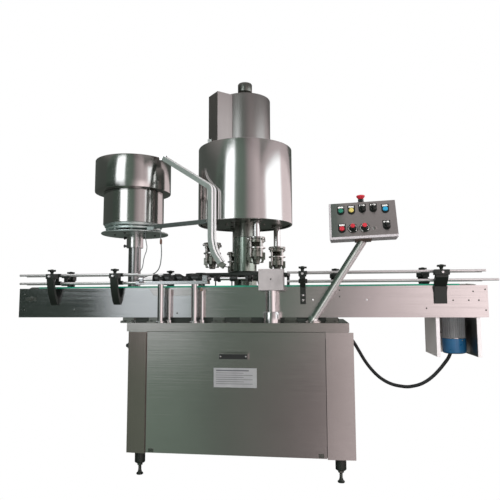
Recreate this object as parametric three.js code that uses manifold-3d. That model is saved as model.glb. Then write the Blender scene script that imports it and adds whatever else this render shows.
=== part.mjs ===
// Four-head rotary capping machine on a slat conveyor, with its vibratory cap feeder and control panel.
// Millimetres, +Z up. While modelling, X runs along the conveyor from infeed to outfeed, Y runs from the
// operator's side to the back, y = 0 is the outer face of the front conveyor plate, and z = 0 is the floor.
// The last lines move the whole machine so that its origin is at the middle of its footprint.
import * as THREE from 'three';
import { mergeVertices } from 'three/addons/utils/BufferGeometryUtils.js';
import Module from 'manifold-3d';

const wasm = await Module();
wasm.setup();

// ---- driving dimensions ----
const GAP = 0.3;                 // clearance between touching pieces
const BELT_Z = 943;              // top of the slat chain
const CONVEYOR_LENGTH = 2440;
const PLATE_TOP = 935;
const PLATE_BOTTOM = 779;
const PLATE_T = 3;
const LANE_W = 110;              // over both side plates
const LANE_Y = LANE_W / 2;
const LOOP_R = 64;               // outside of the slat chain round its sprockets
const CHAIN_T = 8;
const CHAIN_W = 82.5;
const TABLE = { x0: -568, x1: 550, y0: -92, y1: 690, top: 753, apron: 42, sheet: 3 };
const BODY = { x0: -560, x1: 545, y0: -87, y1: 684, bottom: 112, post: 97, sheet: 3 };
const DOOR = { x0: -461, x1: 434, bottom: 115, top: 708, depth: 20, sheet: 2 };
const TURRET = { x: -21.4, y: 358.6 };
const HEAD_R = 200;              // pitch radius of the four heads
const HEAD_ANGLE = 26;           // first head, degrees from +X
const HEAD_COUNT = 4;
const DRUM = { r: 277.5, bottom: 1309, top: 1759, wall: 3 };
const STAR_Z = 1000;             // underside of the star wheels
const STAR_T = 14;
const STAR_R = HEAD_R / 2;       // pitch radius of the two transfer stars
const BOTTLE_R = 36;
const FEEDER = { x: -721.6, y: 389, postX: -711.6, bowlX: -728 };
const BOWL = { r: 230, bottom: 1528, top: 1722, wall: 4 };
const DRIVE = { r: 182, bottom: 1329, discR: 202, discZ: 1272 };
const WORM = { y: 5, z: 980, x0: -466, x1: -196, r: 26 };
const GEARBOX = { x: 171, y: -47, x0: 109, x1: 234, z0: 914, z1: 1021 };
const PANEL = { w: 300, face: 200, slope: 26, top: 36, x: 611.5, y: -338, z: 1135, yaw: -2.9, roll: -1.66 };
const PANEL_FOOT = { x: 377, y: -45, r: 19 };
const RAIL = { r: 6, upper: 1008, lower: 963, inset: 14 };
const MOTOR = { x: 1091, y: 165, shaftX: 1141 };
const SHAFT_Z = BELT_Z - LOOP_R;

// ---- materials ----
function finish(color, roughness, metalness) {
  return new THREE.MeshStandardMaterial({ color, roughness, metalness });
}

const steel = finish(0xa9a6a3, 0.35, 1);
const darkSteel = finish(0x6e7370, 0.4, 1);
const castAlloy = finish(0x9b9ea0, 0.5, 0.8);
const blackPlastic = finish(0x171a17, 0.5, 0);
const greenPlastic = finish(0x0f7a55, 0.5, 0);
const cableBlack = finish(0x141615, 0.6, 0);
const cableGrey = finish(0x7c8482, 0.6, 0);
const buttonColours = { green: 0x0e7a58, yellow: 0xd6c65a, blue: 0x1497c4, red: 0xd3202f };

// ---- solids ----
const rad = THREE.MathUtils.degToRad;

/** A closed three.js geometry as a manifold solid. */
function solid(geometry) {
  const bare = geometry.index ? geometry.toNonIndexed() : geometry.clone();
  for (const name of Object.keys(bare.attributes)) {
    if (name !== 'position') bare.deleteAttribute(name);
  }
  const merged = mergeVertices(bare, 1e-4);
  const mesh = new wasm.Mesh({
    numProp: 3,
    vertProperties: new Float32Array(merged.attributes.position.array),
    triVerts: new Uint32Array(merged.index.array),
  });
  return new wasm.Manifold(mesh);
}

/** A manifold solid back as a three.js geometry. */
function geometryOf(body) {
  const mesh = body.getMesh();
  const geometry = new THREE.BufferGeometry();
  geometry.setAttribute('position', new THREE.BufferAttribute(Float32Array.from(mesh.vertProperties), 3));
  geometry.setIndex(new THREE.BufferAttribute(Uint32Array.from(mesh.triVerts), 1));
  geometry.computeVertexNormals();
  return geometry;
}

const join = (first, ...others) => others.reduce((sum, other) => sum.add(other), first);
const cut = (first, ...others) => others.reduce((left, other) => left.subtract(other), first);

function box(x0, x1, y0, y1, z0, z1) {
  const geometry = new THREE.BoxGeometry(x1 - x0, y1 - y0, z1 - z0);
  geometry.translate((x0 + x1) / 2, (y0 + y1) / 2, (z0 + z1) / 2);
  return solid(geometry);
}

/** A round bar between two points. */
function bar(from, to, r, sides = 12, endR = r) {
  const a = new THREE.Vector3(...from);
  const b = new THREE.Vector3(...to);
  const geometry = new THREE.CylinderGeometry(endR, r, a.distanceTo(b), sides);
  const up = new THREE.Vector3(0, 1, 0);
  const turn = new THREE.Quaternion().setFromUnitVectors(up, b.clone().sub(a).normalize());
  geometry.applyQuaternion(turn);
  geometry.translate((a.x + b.x) / 2, (a.y + b.y) / 2, (a.z + b.z) / 2);
  return solid(geometry);
}

const upright = (x, y, z0, z1, r, sides = 16) => bar([x, y, z0], [x, y, z1], r, sides);

/** A solid of revolution about a vertical axis; profile rows are [radius, z]. */
function turned(x, y, profile, sides = 20) {
  const geometry = new THREE.LatheGeometry(profile.map(([r, z]) => new THREE.Vector2(r, z)), sides);
  geometry.rotateX(Math.PI / 2);
  geometry.translate(x, y, 0);
  return solid(geometry);
}

/** An outline in XY pushed up from z0 to z1. */
function plate(points, z0, z1, holes = []) {
  const shape = new THREE.Shape(points.map(([x, y]) => new THREE.Vector2(x, y)));
  shape.holes = holes.map((hole) => new THREE.Path(hole.map(([x, y]) => new THREE.Vector2(x, y))));
  const geometry = new THREE.ExtrudeGeometry(shape, { depth: z1 - z0, bevelEnabled: false });
  geometry.translate(0, 0, z0);
  return solid(geometry);
}

/** An outline of [y, z] points pushed along X. */
function sideplate(points, x0, x1) {
  const shape = new THREE.Shape(points.map(([y, z]) => new THREE.Vector2(y, z)));
  const geometry = new THREE.ExtrudeGeometry(shape, { depth: x1 - x0, bevelEnabled: false });
  geometry.applyMatrix4(new THREE.Matrix4().makeBasis(
    new THREE.Vector3(0, 1, 0), new THREE.Vector3(0, 0, 1), new THREE.Vector3(1, 0, 0)));
  geometry.translate(x0, 0, 0);
  return solid(geometry);
}

/** Points on an arc, from one angle to another in degrees. */
function arc(cx, cy, r, from, to, steps) {
  const at = (i) => rad(from + ((to - from) * i) / steps);
  return Array.from({ length: steps + 1 }, (_, i) => [cx + r * Math.cos(at(i)), cy + r * Math.sin(at(i))]);
}

/** A round cable through the given points. */
function cable(points, r, sides, steps) {
  const path = new THREE.CatmullRomCurve3(points.map((p) => new THREE.Vector3(...p)), false, 'centripetal');
  const ring = arc(0, 0, r, 0, 360 - 360 / sides, sides - 1);
  const section = new THREE.Shape(ring.map(([x, y]) => new THREE.Vector2(x, y)));
  return solid(new THREE.ExtrudeGeometry(section, { steps, extrudePath: path, bevelEnabled: false }));
}

/** A toothed wheel with pointed teeth; turn is the angle of its first tooth. */
function gear(x, y, pitchR, teeth, z0, z1, turn) {
  const outline = [];
  for (let i = 0; i < teeth * 2; i += 1) {
    const angle = rad(turn + (i * 180) / teeth);
    const r = pitchR + (i % 2 === 0 ? TOOTH.tip : -TOOTH.root);
    outline.push([x + r * Math.cos(angle), y + r * Math.sin(angle)]);
  }
  return plate(outline, z0, z1);
}

// ---- scene graph ----
const machine = new THREE.Group();

function add(name, body, material, parent = machine) {
  const mesh = new THREE.Mesh(geometryOf(body), material);
  mesh.name = name;
  parent.add(mesh);
  return mesh;
}

// ---- cabinet ----
const FEEDER_BRACKET = { x0: -770, y0: 330, y1: 448, z0: 738, z1: 752 };
const CABLE_GLAND = { from: [543, 300, 690], to: [561, 300, 672], r: 13 };
const GEAR_Z = 690;
const GEAR_T = 20;
const STAR = { x: TURRET.x - 220.3, y: LANE_Y + STAR_R };
// Direction of the infeed star from the turret, in degrees.
const STAR_BEARING = THREE.MathUtils.radToDeg(Math.atan2(STAR.y - TURRET.y, STAR.x - TURRET.x));
const TOOTH = { tip: 4.5, root: 6.5 };
const SLEEVE = { r: 66, bore: 62.5, top: 1236 };
const COLUMN_R = 45;

function cabinetShell() {
  const b = BODY;
  const top = TABLE.top - TABLE.sheet - GAP;
  const left = box(b.x0, b.x0 + b.sheet, b.y0, b.y1, b.bottom, top);
  const right = box(b.x1 - b.sheet, b.x1, b.y0, b.y1, b.bottom, top);
  const back = box(b.x0, b.x1, b.y1 - b.sheet, b.y1, b.bottom, top);
  const floor = box(b.x0, b.x1, b.y0 + DOOR.depth + 4, b.y1, b.bottom, b.bottom + b.sheet);
  const leftPost = box(b.x0, b.x0 + b.post, b.y0, b.y0 + 40, b.bottom, top);
  const rightPost = box(b.x1 - b.post - 12, b.x1, b.y0, b.y0 + 40, b.bottom, top);
  const lintel = box(b.x0, b.x1, b.y0 + DOOR.depth + 4, b.y0 + 40, DOOR.top - 30, top);
  const backPosts = [b.x0, b.x1 - 40].map((x) => box(x, x + 40, b.y1 - 40, b.y1, b.bottom, top));
  const gland = bar(CABLE_GLAND.from, CABLE_GLAND.to, CABLE_GLAND.r, 12);
  return join(left, right, back, floor, leftPost, rightPost, lintel, ...backPosts, gland);
}

function tableTop() {
  const t = TABLE;
  const tray = cut(
    box(t.x0, t.x1, t.y0, t.y1, t.top - t.apron, t.top),
    box(t.x0 + t.sheet, t.x1 - t.sheet, t.y0 + t.sheet, t.y1 - t.sheet, t.top - t.apron - 1, t.top - t.sheet),
  );
  const f = FEEDER_BRACKET;
  const bracket = box(f.x0, t.x0 + 1.5, f.y0, f.y1, f.z0, f.z1);
  const spacers = [-500, -130, 240].map((x) =>
    box(x, x + 90, 8, LANE_W - 8, t.top - 1.5, PLATE_BOTTOM - GAP));
  const turretHole = upright(TURRET.x, TURRET.y, 700, 800, SLEEVE.r + 6, 24);
  const starHole = upright(STAR.x, STAR.y, 700, 800, 20, 12);
  return cut(join(tray, bracket, ...spacers), turretHole, starHole);
}

function cabinetDoor() {
  const { x0, x1, bottom, top, depth, sheet } = DOOR;
  const y0 = BODY.y0;
  const pan = cut(
    box(x0, x1, y0, y0 + depth, bottom, top),
    box(x0 + sheet, x1 - sheet, y0 + sheet, y0 + depth + 1, bottom + sheet, top - sheet),
  );
  const handle = join(
    box(-86, 58, y0 - 26, y0 - 16, 575, 607),
    box(-86, -70, y0 - 20, y0 + 1, 577, 605),
    box(42, 58, y0 - 20, y0 + 1, 577, 605),
  );
  return join(pan, handle);
}

function foot(x, y) {
  const top = BODY.bottom - GAP;
  const pad = [[0, 0], [17, 0], [17, 6], [8, 15]];
  const stem = [[8, 46], [14, 46], [14, 57]];
  const profile = [...pad, ...stem, [26, 62], [26, top], [0, top]];
  return turned(x, y, profile, 12);
}

add('table_top', tableTop(), steel);
add('cabinet_shell', cabinetShell(), steel);
add('cabinet_door', cabinetDoor(), steel);
const FOOT_SPOTS = {
  front_left: [-501, -50], front_right: [498, -50], rear_left: [-501, 640], rear_right: [498, 640],
};
for (const [place, [x, y]] of Object.entries(FOOT_SPOTS)) {
  add(`foot_${place}`, foot(x, y), blackPlastic);
}

// ---- conveyor ----
const HALF = CONVEYOR_LENGTH / 2;
const IDLER_X = -MOTOR.shaftX;

function conveyorPlateFront() {
  const sheet = box(-HALF, HALF, 0, PLATE_T, PLATE_BOTTOM, PLATE_TOP);
  const slot = box(-1180, -1128, -1, PLATE_T + 1, SHAFT_Z - 7, SHAFT_Z + 7);
  return cut(sheet, slot);
}

function conveyorPlateRear() {
  const sheet = box(-HALF, HALF, LANE_W - PLATE_T, LANE_W, PLATE_BOTTOM, PLATE_TOP);
  const ties = [-900, -450, 60, 520, 900].map((x) =>
    bar([x, PLATE_T + GAP, 795], [x, LANE_W - 1, 795], 8, 8));
  const shaftHole = bar([MOTOR.shaftX, 100, SHAFT_Z], [MOTOR.shaftX, 120, SHAFT_Z], 14, 16);
  const slot = box(-1180, -1122, 100, 120, SHAFT_Z - 14, SHAFT_Z + 14);
  return cut(join(sheet, ...ties), shaftHole, slot);
}

function wearBed() {
  const x0 = -1108;
  const x1 = 1090;
  const web = box(x0, x1, PLATE_T + GAP, LANE_W - PLATE_T - GAP, 926, BELT_Z - CHAIN_T - GAP);
  const lipInner = LANE_Y - CHAIN_W / 2 - 0.6;
  const frontLip = join(
    box(x0, x1, 0, lipInner, PLATE_TOP + GAP, BELT_Z),
    box(x0, x1, PLATE_T + GAP, lipInner, 926, BELT_Z),
  );
  const rearLip = join(
    box(x0, x1, LANE_W - lipInner, LANE_W, PLATE_TOP + GAP, BELT_Z),
    box(x0, x1, LANE_W - lipInner, LANE_W - PLATE_T - GAP, 926, BELT_Z),
  );
  return join(web, frontLip, rearLip);
}

/** Racetrack round both shafts, in XZ, pushed across the lane from y0 to y1. */
function track(r, y0, y1) {
  const steps = 10;
  const outfeedEnd = arc(MOTOR.shaftX, SHAFT_Z, r, -90, 90, steps);
  const infeedEnd = arc(IDLER_X, SHAFT_Z, r, 90, 270, steps);
  return sideways([...outfeedEnd, ...infeedEnd], y0, y1);
}

/** An outline of [x, z] points pushed along Y. */
function sideways(points, y0, y1) {
  const shape = new THREE.Shape(points.map(([x, z]) => new THREE.Vector2(x, z)));
  const geometry = new THREE.ExtrudeGeometry(shape, { depth: y1 - y0, bevelEnabled: false });
  geometry.rotateX(Math.PI / 2);
  geometry.translate(0, y1, 0);
  return solid(geometry);
}

function slatChain() {
  const outer = track(LOOP_R, LANE_Y - CHAIN_W / 2, LANE_Y + CHAIN_W / 2);
  return cut(outer, track(LOOP_R - CHAIN_T, -10, LANE_W + 20));
}

/** A cross shaft with its two sprockets. */
function crossShaft(x, y0, y1) {
  const sprocketR = LOOP_R - CHAIN_T - 1.5;
  const sprockets = [24, 62].map((y) => bar([x, y, SHAFT_Z], [x, y + 24, SHAFT_Z], sprocketR, 20));
  return join(bar([x, y0, SHAFT_Z], [x, y1, SHAFT_Z], 12.5, 12), ...sprockets);
}

add('conveyor_plate_front', conveyorPlateFront(), steel);
add('conveyor_plate_rear', conveyorPlateRear(), steel);
add('wear_bed', wearBed(), greenPlastic);
add('slat_chain', slatChain(), darkSteel);
add('drive_shaft', crossShaft(MOTOR.shaftX, PLATE_T + 1, 150), darkSteel);
add('idler_shaft', crossShaft(IDLER_X, PLATE_T + 1, 106), darkSteel);

// ---- guide rails with their brackets ----
/** A curved bracket with its clamp knob, cross rod and rail clamp; side is 1 in front, -1 behind the lane. */
function railBracket(x, side) {
  const out = (d) => (side === 1 ? -d : LANE_W + d);
  const outside = [[GAP, 846], [12, 846], [46, 905], [70, 980], [70, 1008]];
  const inside = [[28, 1008], [28, 985], [46, 980], [16, 905], [GAP, 900]];
  const armPoints = [...outside, ...inside].map(([d, z]) => [out(d), z]);
  const knob = join(
    upright(x, out(49), 1006, 1024, 9, 6),
    upright(x, out(49), 1023, 1034, 22, 8),
  );
  const rodZ = 996;
  const rod = bar([x, out(84), rodZ], [x, out(-RAIL.inset), rodZ], 6, 6);
  const clampY = [out(-RAIL.inset - 8), out(-RAIL.inset + 8)].sort((a, b) => a - b);
  const clamp = box(x - 23, x + 23, clampY[0], clampY[1], RAIL.lower - 10, RAIL.upper + 6);
  return join(sideplate(side === 1 ? armPoints : armPoints.reverse(), x - 20, x + 20), knob, rod, clamp);
}

function railSet(side, upper, lower, bracketXs) {
  const y = side === 1 ? RAIL.inset : LANE_W - RAIL.inset;
  const rods = join(
    bar([upper[0], y, RAIL.upper], [upper[1], y, RAIL.upper], RAIL.r, 6),
    bar([lower[0], y, RAIL.lower], [lower[1], y, RAIL.lower], RAIL.r, 6),
  );
  return join(rods, ...bracketXs.map((x) => railBracket(x, side)));
}

add('guide_rail_front_left', railSet(1, [-1232, -552], [-1230, -552], [-1010, -657]), steel);
add('guide_rail_rear_left', railSet(-1, [-1238, -345], [-1236, -345], [-1004, -415]), steel);
add('guide_rail_front_right', railSet(1, [245, 1221], [245, 1280], [327, 997]), steel);
add('guide_rail_rear_right', railSet(-1, [300, 1224], [300, 1224], [494, 946]), steel);

// ---- conveyor motor and its guard ----
function conveyorMotor() {
  const { x, y, shaftX } = MOTOR;
  const gearCase = box(x - 45, shaftX + 48, LANE_W + 4, LANE_W + 90, SHAFT_Z - 62, SHAFT_Z + 62);
  const bore = bar([shaftX, 100, SHAFT_Z], [shaftX, LANE_W + 60, SHAFT_Z], 14, 16);
  const stator = upright(x, y, 668, 820, 53, 20);
  const fanCover = turned(x, y, [[0, 592], [50, 592], [59, 601], [59, 669], [0, 669]], 20);
  const terminalBox = box(x - 45, x + 45, y + 50, y + 105, 690, 770);
  const gland = upright(x + 5, y + 82, 668, 692, 12, 8);
  return cut(join(gearCase, stator, fanCover, terminalBox, gland), bore);
}

function motorGuard() {
  const y0 = 6;
  const y1 = 300;
  const z0 = 588;
  const left = box(973, 975, y0, y1, z0, PLATE_BOTTOM - GAP);
  const right = box(1164, 1166, y0, y1, z0, PLATE_BOTTOM - GAP);
  const leftLip = box(973, 990, y0, y0 + 2, z0, PLATE_BOTTOM - GAP);
  const rightLip = box(1164, 1181, y0, y0 + 2, z0, PLATE_BOTTOM - GAP);
  const back = box(973, 1166, y1 - 2, y1, z0, PLATE_BOTTOM - GAP);
  const hanger = box(973, 1166, LANE_W + 130, y1, PLATE_BOTTOM - GAP - 3, PLATE_BOTTOM - GAP);
  return join(left, right, leftLip, rightLip, back, hanger);
}

add('conveyor_motor', conveyorMotor(), castAlloy);
add('motor_guard', motorGuard(), steel);

// ---- turret ----
const ringProfile = (rIn, rOut, z0, z1) => [[rIn, z0], [rOut, z0], [rOut, z1], [rIn, z1], [rIn, z0]];
const CARRIER = { z: 1316, t: 18, r: 262, bore: 47 };
const COLUMN_TOP = 1850;

function turretColumn() {
  const { x, y } = TURRET;
  const base = box(x - 130, x + 130, y - 130, y + 130, BODY.bottom + BODY.sheet + GAP, 140);
  const post = upright(x, y, 130, COLUMN_TOP, COLUMN_R, 20);
  return join(base, post);
}

function turretSleeve() {
  const { x, y } = TURRET;
  const tube = turned(x, y, ringProfile(SLEEVE.bore, SLEEVE.r, 640, SLEEVE.top), 16);
  const bearingCollar = turned(x, y, ringProfile(COLUMN_R + 2, SLEEVE.bore + 1, 640, 700), 16);
  const wheel = cut(gear(x, y, HEAD_R, 50, GEAR_Z, GEAR_Z + GEAR_T, 180 / 50 + STAR_BEARING),
    upright(x, y, GEAR_Z - 1, GEAR_Z + GEAR_T + 1, COLUMN_R + 2, 16));
  return join(tube, bearingCollar, wheel);
}

function starOutline(cx, cy, pitchR, outerR, pockets, turn) {
  const disc = plate(arc(cx, cy, outerR, 0, 348, 29), STAR_Z, STAR_Z + STAR_T);
  const bites = Array.from({ length: pockets }, (_, i) => {
    const a = rad(turn + (i * 360) / pockets);
    const [x, y] = [cx + pitchR * Math.cos(a), cy + pitchR * Math.sin(a)];
    return upright(x, y, STAR_Z - 1, STAR_Z + STAR_T + 1, BOTTLE_R, 12);
  });
  return cut(disc, ...bites);
}

function mainStar() {
  const { x, y } = TURRET;
  const wheel = starOutline(x, y, HEAD_R, 188, HEAD_COUNT, HEAD_ANGLE);
  const hub = upright(x, y, STAR_Z - 18, STAR_Z + STAR_T + 22, 92, 16);
  const bore = upright(x, y, STAR_Z - 50, STAR_Z + 80, SLEEVE.r + 1.5, 16);
  return cut(join(wheel, hub), bore);
}

/** The infeed star on its shaft, with the gear under the table that the main wheel drives. */
function infeedStar() {
  const { x, y } = STAR;
  const wheel = starOutline(x, y, STAR_R, 82, 2, -90);
  const hub = upright(x, y, STAR_Z - 30, STAR_Z + STAR_T + 6, 30);
  const shaft = upright(x, y, 600 + GAP, STAR_Z, 14, 12);
  const pinion = gear(x, y, STAR_R, 25, GEAR_Z, GEAR_Z + GEAR_T, 180 + STAR_BEARING);
  return join(wheel, hub, shaft, pinion);
}

/** Dead plate that the bottles slide on, and the guide round the back of the main star on three legs. */
function bottleGuide() {
  const { x, y } = TURRET;
  const inner = 240;
  const outer = 262;
  const [from, to] = [-20, 200];
  const plateTop = BELT_Z - 1.5;
  const band = [...arc(x, y, outer, from, to, 16), ...arc(x, y, inner, to, from, 16)];
  const ring = plate(band, STAR_Z + 8, STAR_Z + 22);
  const legR = (inner + outer) / 2;
  const legs = [0, 90, 180].map((a) =>
    upright(x + legR * Math.cos(rad(a)), y + legR * Math.sin(rad(a)), TABLE.top + GAP, STAR_Z + 10, 9, 6));
  const underMain = upright(x, y, plateTop - 6, plateTop, outer + 4, 24);
  const underInfeed = upright(STAR.x, STAR.y, plateTop - 6, plateTop, 96, 12);
  const deadPlate = cut(
    join(underMain, underInfeed),
    upright(x, y, plateTop - 10, plateTop + 4, SLEEVE.r + 6, 16),
    upright(STAR.x, STAR.y, plateTop - 10, plateTop + 4, 20, 8),
    box(x - 400, x + 400, 0, LANE_W + 2, plateTop - 10, plateTop + 4),
  );
  return join(ring, deadPlate, ...legs);
}

/** Drum open at the bottom, with a hole for the column in its lid. */
function drumCover() {
  const { x, y } = TURRET;
  const { r, bottom, top, wall } = DRUM;
  const skin = [[r - wall, bottom], [r, bottom], [r, top], [50, top], [50, top - wall]];
  return turned(x, y, [...skin, [r - wall, top - wall], [r - wall, bottom]], 32);
}

/** Fixed cam that the spindles' rollers follow, on the tube that slides on the column. */
function camDrum() {
  const { x, y } = TURRET;
  const bore = COLUMN_R + 2;
  const top = DRUM.top - DRUM.wall - GAP;
  const cam = [[bore, 1510], [150, 1510], [150, 1550], [60, 1550]];
  return turned(x, y, [...cam, [60, top], [bore, top], [bore, 1510]], 24);
}

const SIDE_COVER = { x: -145.7, y: 222.4, w: 100, d: 105, turn: 41, top: 2060 };

/** Round cover over the lift screw, with its knob, and the square cover beside it. */
function topHousing() {
  const { x, y } = TURRET;
  const base = DRUM.top + GAP;
  const top = 2068;
  const r = 151.5;
  const wall = 3.5;
  const shell = [[0, top - 3], [r - wall, top - 3], [r - wall, base], [r, base], [r, top], [0, top]];
  const tube = turned(x, y, shell, 24);
  const stem = [[0, top - 1], [30, top - 1], [30, top + 50]];
  const knob = turned(x, y, [...stem, [43, top + 60], [43, top + 111], [0, top + 111]], 16);
  const cover = new THREE.BoxGeometry(SIDE_COVER.w, SIDE_COVER.d, SIDE_COVER.top - base);
  cover.rotateZ(rad(SIDE_COVER.turn));
  cover.translate(SIDE_COVER.x, SIDE_COVER.y, (SIDE_COVER.top + base) / 2);
  return join(tube, knob, solid(cover));
}

function headCarrier() {
  const { x, y } = TURRET;
  const disc = upright(x, y, CARRIER.z, CARRIER.z + CARRIER.t, CARRIER.r, 28);
  const hub = upright(x, y, SLEEVE.top - 60, CARRIER.z + 40, 61, 16);
  const bore = upright(x, y, SLEEVE.top - 70, CARRIER.z + 60, CARRIER.bore + 1, 16);
  const guides = headSpots().map((h) => upright(h.x, h.y, CARRIER.z - 1, CARRIER.z + 60, 34, 8));
  const holes = headSpots().map((h) => upright(h.x, h.y, CARRIER.z - 10, CARRIER.z + 70, SPINDLE_R + 3, 8));
  return cut(join(disc, hub, ...guides), bore, ...holes);
}

// Rest height of each head's top flange: the cam holds the four heads at different points of their stroke.
const HEAD_TOPS = [1188, 1170, 1199, 1216];
const SPINDLE_R = 20;
const HEAD_H = 150;

function headSpots() {
  return HEAD_TOPS.map((top, i) => {
    const a = rad(HEAD_ANGLE + (i * 360) / HEAD_COUNT);
    return { x: TURRET.x + HEAD_R * Math.cos(a), y: TURRET.y + HEAD_R * Math.sin(a), top, a };
  });
}

/** Sliding spindle sleeve with its cam roller arm pointing at the turret's axis. */
function spindle({ x, y, top, a }) {
  const tube = upright(x, y, top + GAP, top + 290, SPINDLE_R, 10);
  const reach = HEAD_R - 168;
  const rollerZ = top + 272;
  const roller = bar([x, y, rollerZ], [x - reach * Math.cos(a), y - reach * Math.sin(a), rollerZ], 9, 8);
  return join(tube, roller);
}

/** Roll-on head: flange, ring and chuck body turned in one, with four roller arms. */
function cappingHead({ x, y, top }) {
  const chuck = [[0, top - HEAD_H], [18, top - HEAD_H], [38, top - 126], [38, top - 64]];
  const ring = [[50, top - 64], [50, top - 56], [30, top - 56], [30, top - 20]];
  const flange = [[49, top - 20], [49, top], [0, top]];
  const body = turned(x, y, [...chuck, ...ring, ...flange], 12);
  const armX = box(x - 50, x + 50, y - 9, y + 9, top - 134, top - 112);
  const armY = box(x - 9, x + 9, y - 50, y + 50, top - 134, top - 112);
  return join(body, armX, armY);
}

add('turret_column', turretColumn(), steel);
add('turret_sleeve', turretSleeve(), steel);
add('main_star', mainStar(), blackPlastic);
add('infeed_star', infeedStar(), blackPlastic);
add('bottle_guide', bottleGuide(), blackPlastic);
add('drum_cover', drumCover(), steel);
add('cam_drum', camDrum(), darkSteel);
add('top_housing', topHousing(), steel);
add('head_carrier', headCarrier(), darkSteel);
headSpots().forEach((spot, i) => {
  add(`spindle_${i + 1}`, spindle(spot), steel);
  add(`capping_head_${i + 1}`, cappingHead(spot), darkSteel);
});

function mainMotor() {
  const { x, y } = STAR;
  const base = box(x - 80, x + 80, y - 70, y + 70, BODY.bottom + BODY.sheet + GAP, 130);
  const motor = upright(x, y, 128, 400, 70, 20);
  const gearCase = box(x - 75, x + 75, y - 75, y + 75, 395, 540);
  const output = upright(x, y, 535, 600, 28, 12);
  return join(base, motor, gearCase, output);
}
add('main_motor', mainMotor(), castAlloy);

// ---- timing worm and its drive ----
const U_JOINT = { left: [-132, WORM.y, WORM.z], right: [72, -38, WORM.z - 2] };

function timingWorm() {
  const { x0, x1, y, z, r } = WORM;
  const starts = [];
  for (let x = x0, pitch = 26; x < x1 - pitch * 0.6; x += pitch, pitch += 7) starts.push([x, pitch]);
  const core = bar([x0, y, z], [x1, y, z], 15, 8);
  const discs = starts.map(([x, pitch]) => bar([x, y, z], [x + pitch * 0.45, y, z], r, 10));
  const shaft = bar([-545, y, z], [-150, y, z], 8, 8);
  return join(core, shaft, ...discs);
}

/** Square bar on two posts that carries the worm's two bearing blocks. */
function wormRest() {
  const y = -58;
  const rail = box(-510, -155, y - 9, y + 9, 950, 966);
  const posts = [-403, -225].map((x) => upright(x, y, TABLE.top + GAP, 952, 15, 12));
  const rightBlock = box(-184, -160, y + 4, WORM.y + 16, 964, 998);
  const leftBlock = box(-538, -518, y - 4, WORM.y + 16, 964, 998);
  const leftArm = box(-538, -500, y - 4, y + 9, 952, 998);
  const bores = bar([-600, WORM.y, WORM.z], [-100, WORM.y, WORM.z], 9.5, 12);
  return cut(join(rail, ...posts, rightBlock, leftBlock, leftArm), bores);
}

function cardanShaft() {
  const [a, b] = [U_JOINT.left, U_JOINT.right];
  const mid = (t) => a.map((value, i) => value + (b[i] - value) * t);
  return join(
    bar(mid(0.06), mid(0.94), 9, 8),
    bar(mid(0.0), mid(0.17), 15, 10),
    bar(mid(0.83), mid(1.0), 15, 10),
    bar(mid(0.42), mid(0.62), 13, 6),
  );
}

function gearboxPost() {
  const g = GEARBOX;
  const cube = box(g.x0, g.x1, -91, -3.5, g.z0, g.z1);
  const post = upright(g.x, g.y, TABLE.top + GAP, g.z0 + 1, 31, 16);
  const collar = upright(g.x, g.y, TABLE.top + GAP, 809, 43, 16);
  const flange = bar([g.x0 - 7, -38, WORM.z - 2], [g.x0 + 2, -38, WORM.z - 2], 34, 12);
  const stub = bar([U_JOINT.right[0] + 3, -38, WORM.z - 2], [g.x0, -38, WORM.z - 2], 10, 8);
  const cap = bar([g.x1 - 1, -60, 995], [g.x1 + 14, -60, 995], 9, 8);
  return join(cube, post, collar, flange, stub, cap);
}

add('timing_worm', timingWorm(), blackPlastic);
add('worm_rest', wormRest(), steel);
add('cardan_shaft', cardanShaft(), steel);
add('gearbox_post', gearboxPost(), steel);

// ---- cap feeder ----
function feederPost() {
  const { postX: x, y } = FEEDER;
  const base = upright(x, y, TABLE.top + GAP, TABLE.top + 22, 46, 20);
  return join(base, upright(x, y, TABLE.top + 10, DRIVE.discZ - 1, 37.5, 20));
}

/** Base disc with its clamp sleeve and chute arm, and the vibratory drive with its skirt. */
function feederDrive() {
  const { x, y, postX } = FEEDER;
  const d = DRIVE;
  const disc = upright(postX, y, d.discZ, d.discZ + 8, d.discR, 24);
  const sleeve = turned(postX, y, ringProfile(38.5, 50, 1192, d.discZ + 1), 16);
  const ear = box(postX - 66, postX - 38.5, y - 12, y + 12, 1196, 1264);
  const core = upright(x, y, d.discZ + 7, BOWL.bottom - 8, 110, 12);
  const plateUnder = upright(x, y, 1296, 1310, 165, 20);
  const skirt = turned(x, y, ringProfile(d.r - 3, d.r, d.bottom, BOWL.bottom - 2), 24);
  const lid = upright(x, y, BOWL.bottom - 8, BOWL.bottom - 2, d.r - 1, 24);
  const mounts = [30, 150, 270].map((a) =>
    upright(x + 145 * Math.cos(rad(a)), y + 145 * Math.sin(rad(a)), d.discZ + 7, 1298, 18, 6));
  return join(disc, sleeve, ear, core, plateUnder, skirt, lid, ...mounts, chuteArm());
}

/** Flat bar from the feeder's base disc to the cap chute. */
function chuteArm() {
  const from = [-566, 262];
  const to = [-184, 98];
  const dir = new THREE.Vector2(to[0] - from[0], to[1] - from[1]);
  const geometry = new THREE.BoxGeometry(dir.length(), 12, 24);
  geometry.rotateZ(dir.angle());
  geometry.translate((from[0] + to[0]) / 2, (from[1] + to[1]) / 2, 1300);
  const foot = box(-585, -545, 240, 290, DRIVE.discZ + 1, 1300);
  return join(solid(geometry), foot);
}

function feederBowl() {
  const { bowlX: x, y } = FEEDER;
  const b = BOWL;
  const outside = [[0, b.bottom], [b.r, b.bottom], [b.r, b.top]];
  const inside = [[b.r - b.wall, b.top], [b.r - b.wall, b.bottom + 8], [0, b.bottom + 20]];
  const cup = turned(x, y, [...outside, ...inside], 28);
  const track = turned(x, y, ringProfile(b.r - 44, b.r - 1, b.bottom + 110, b.bottom + 113), 28);
  return join(cup, track);
}

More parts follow.
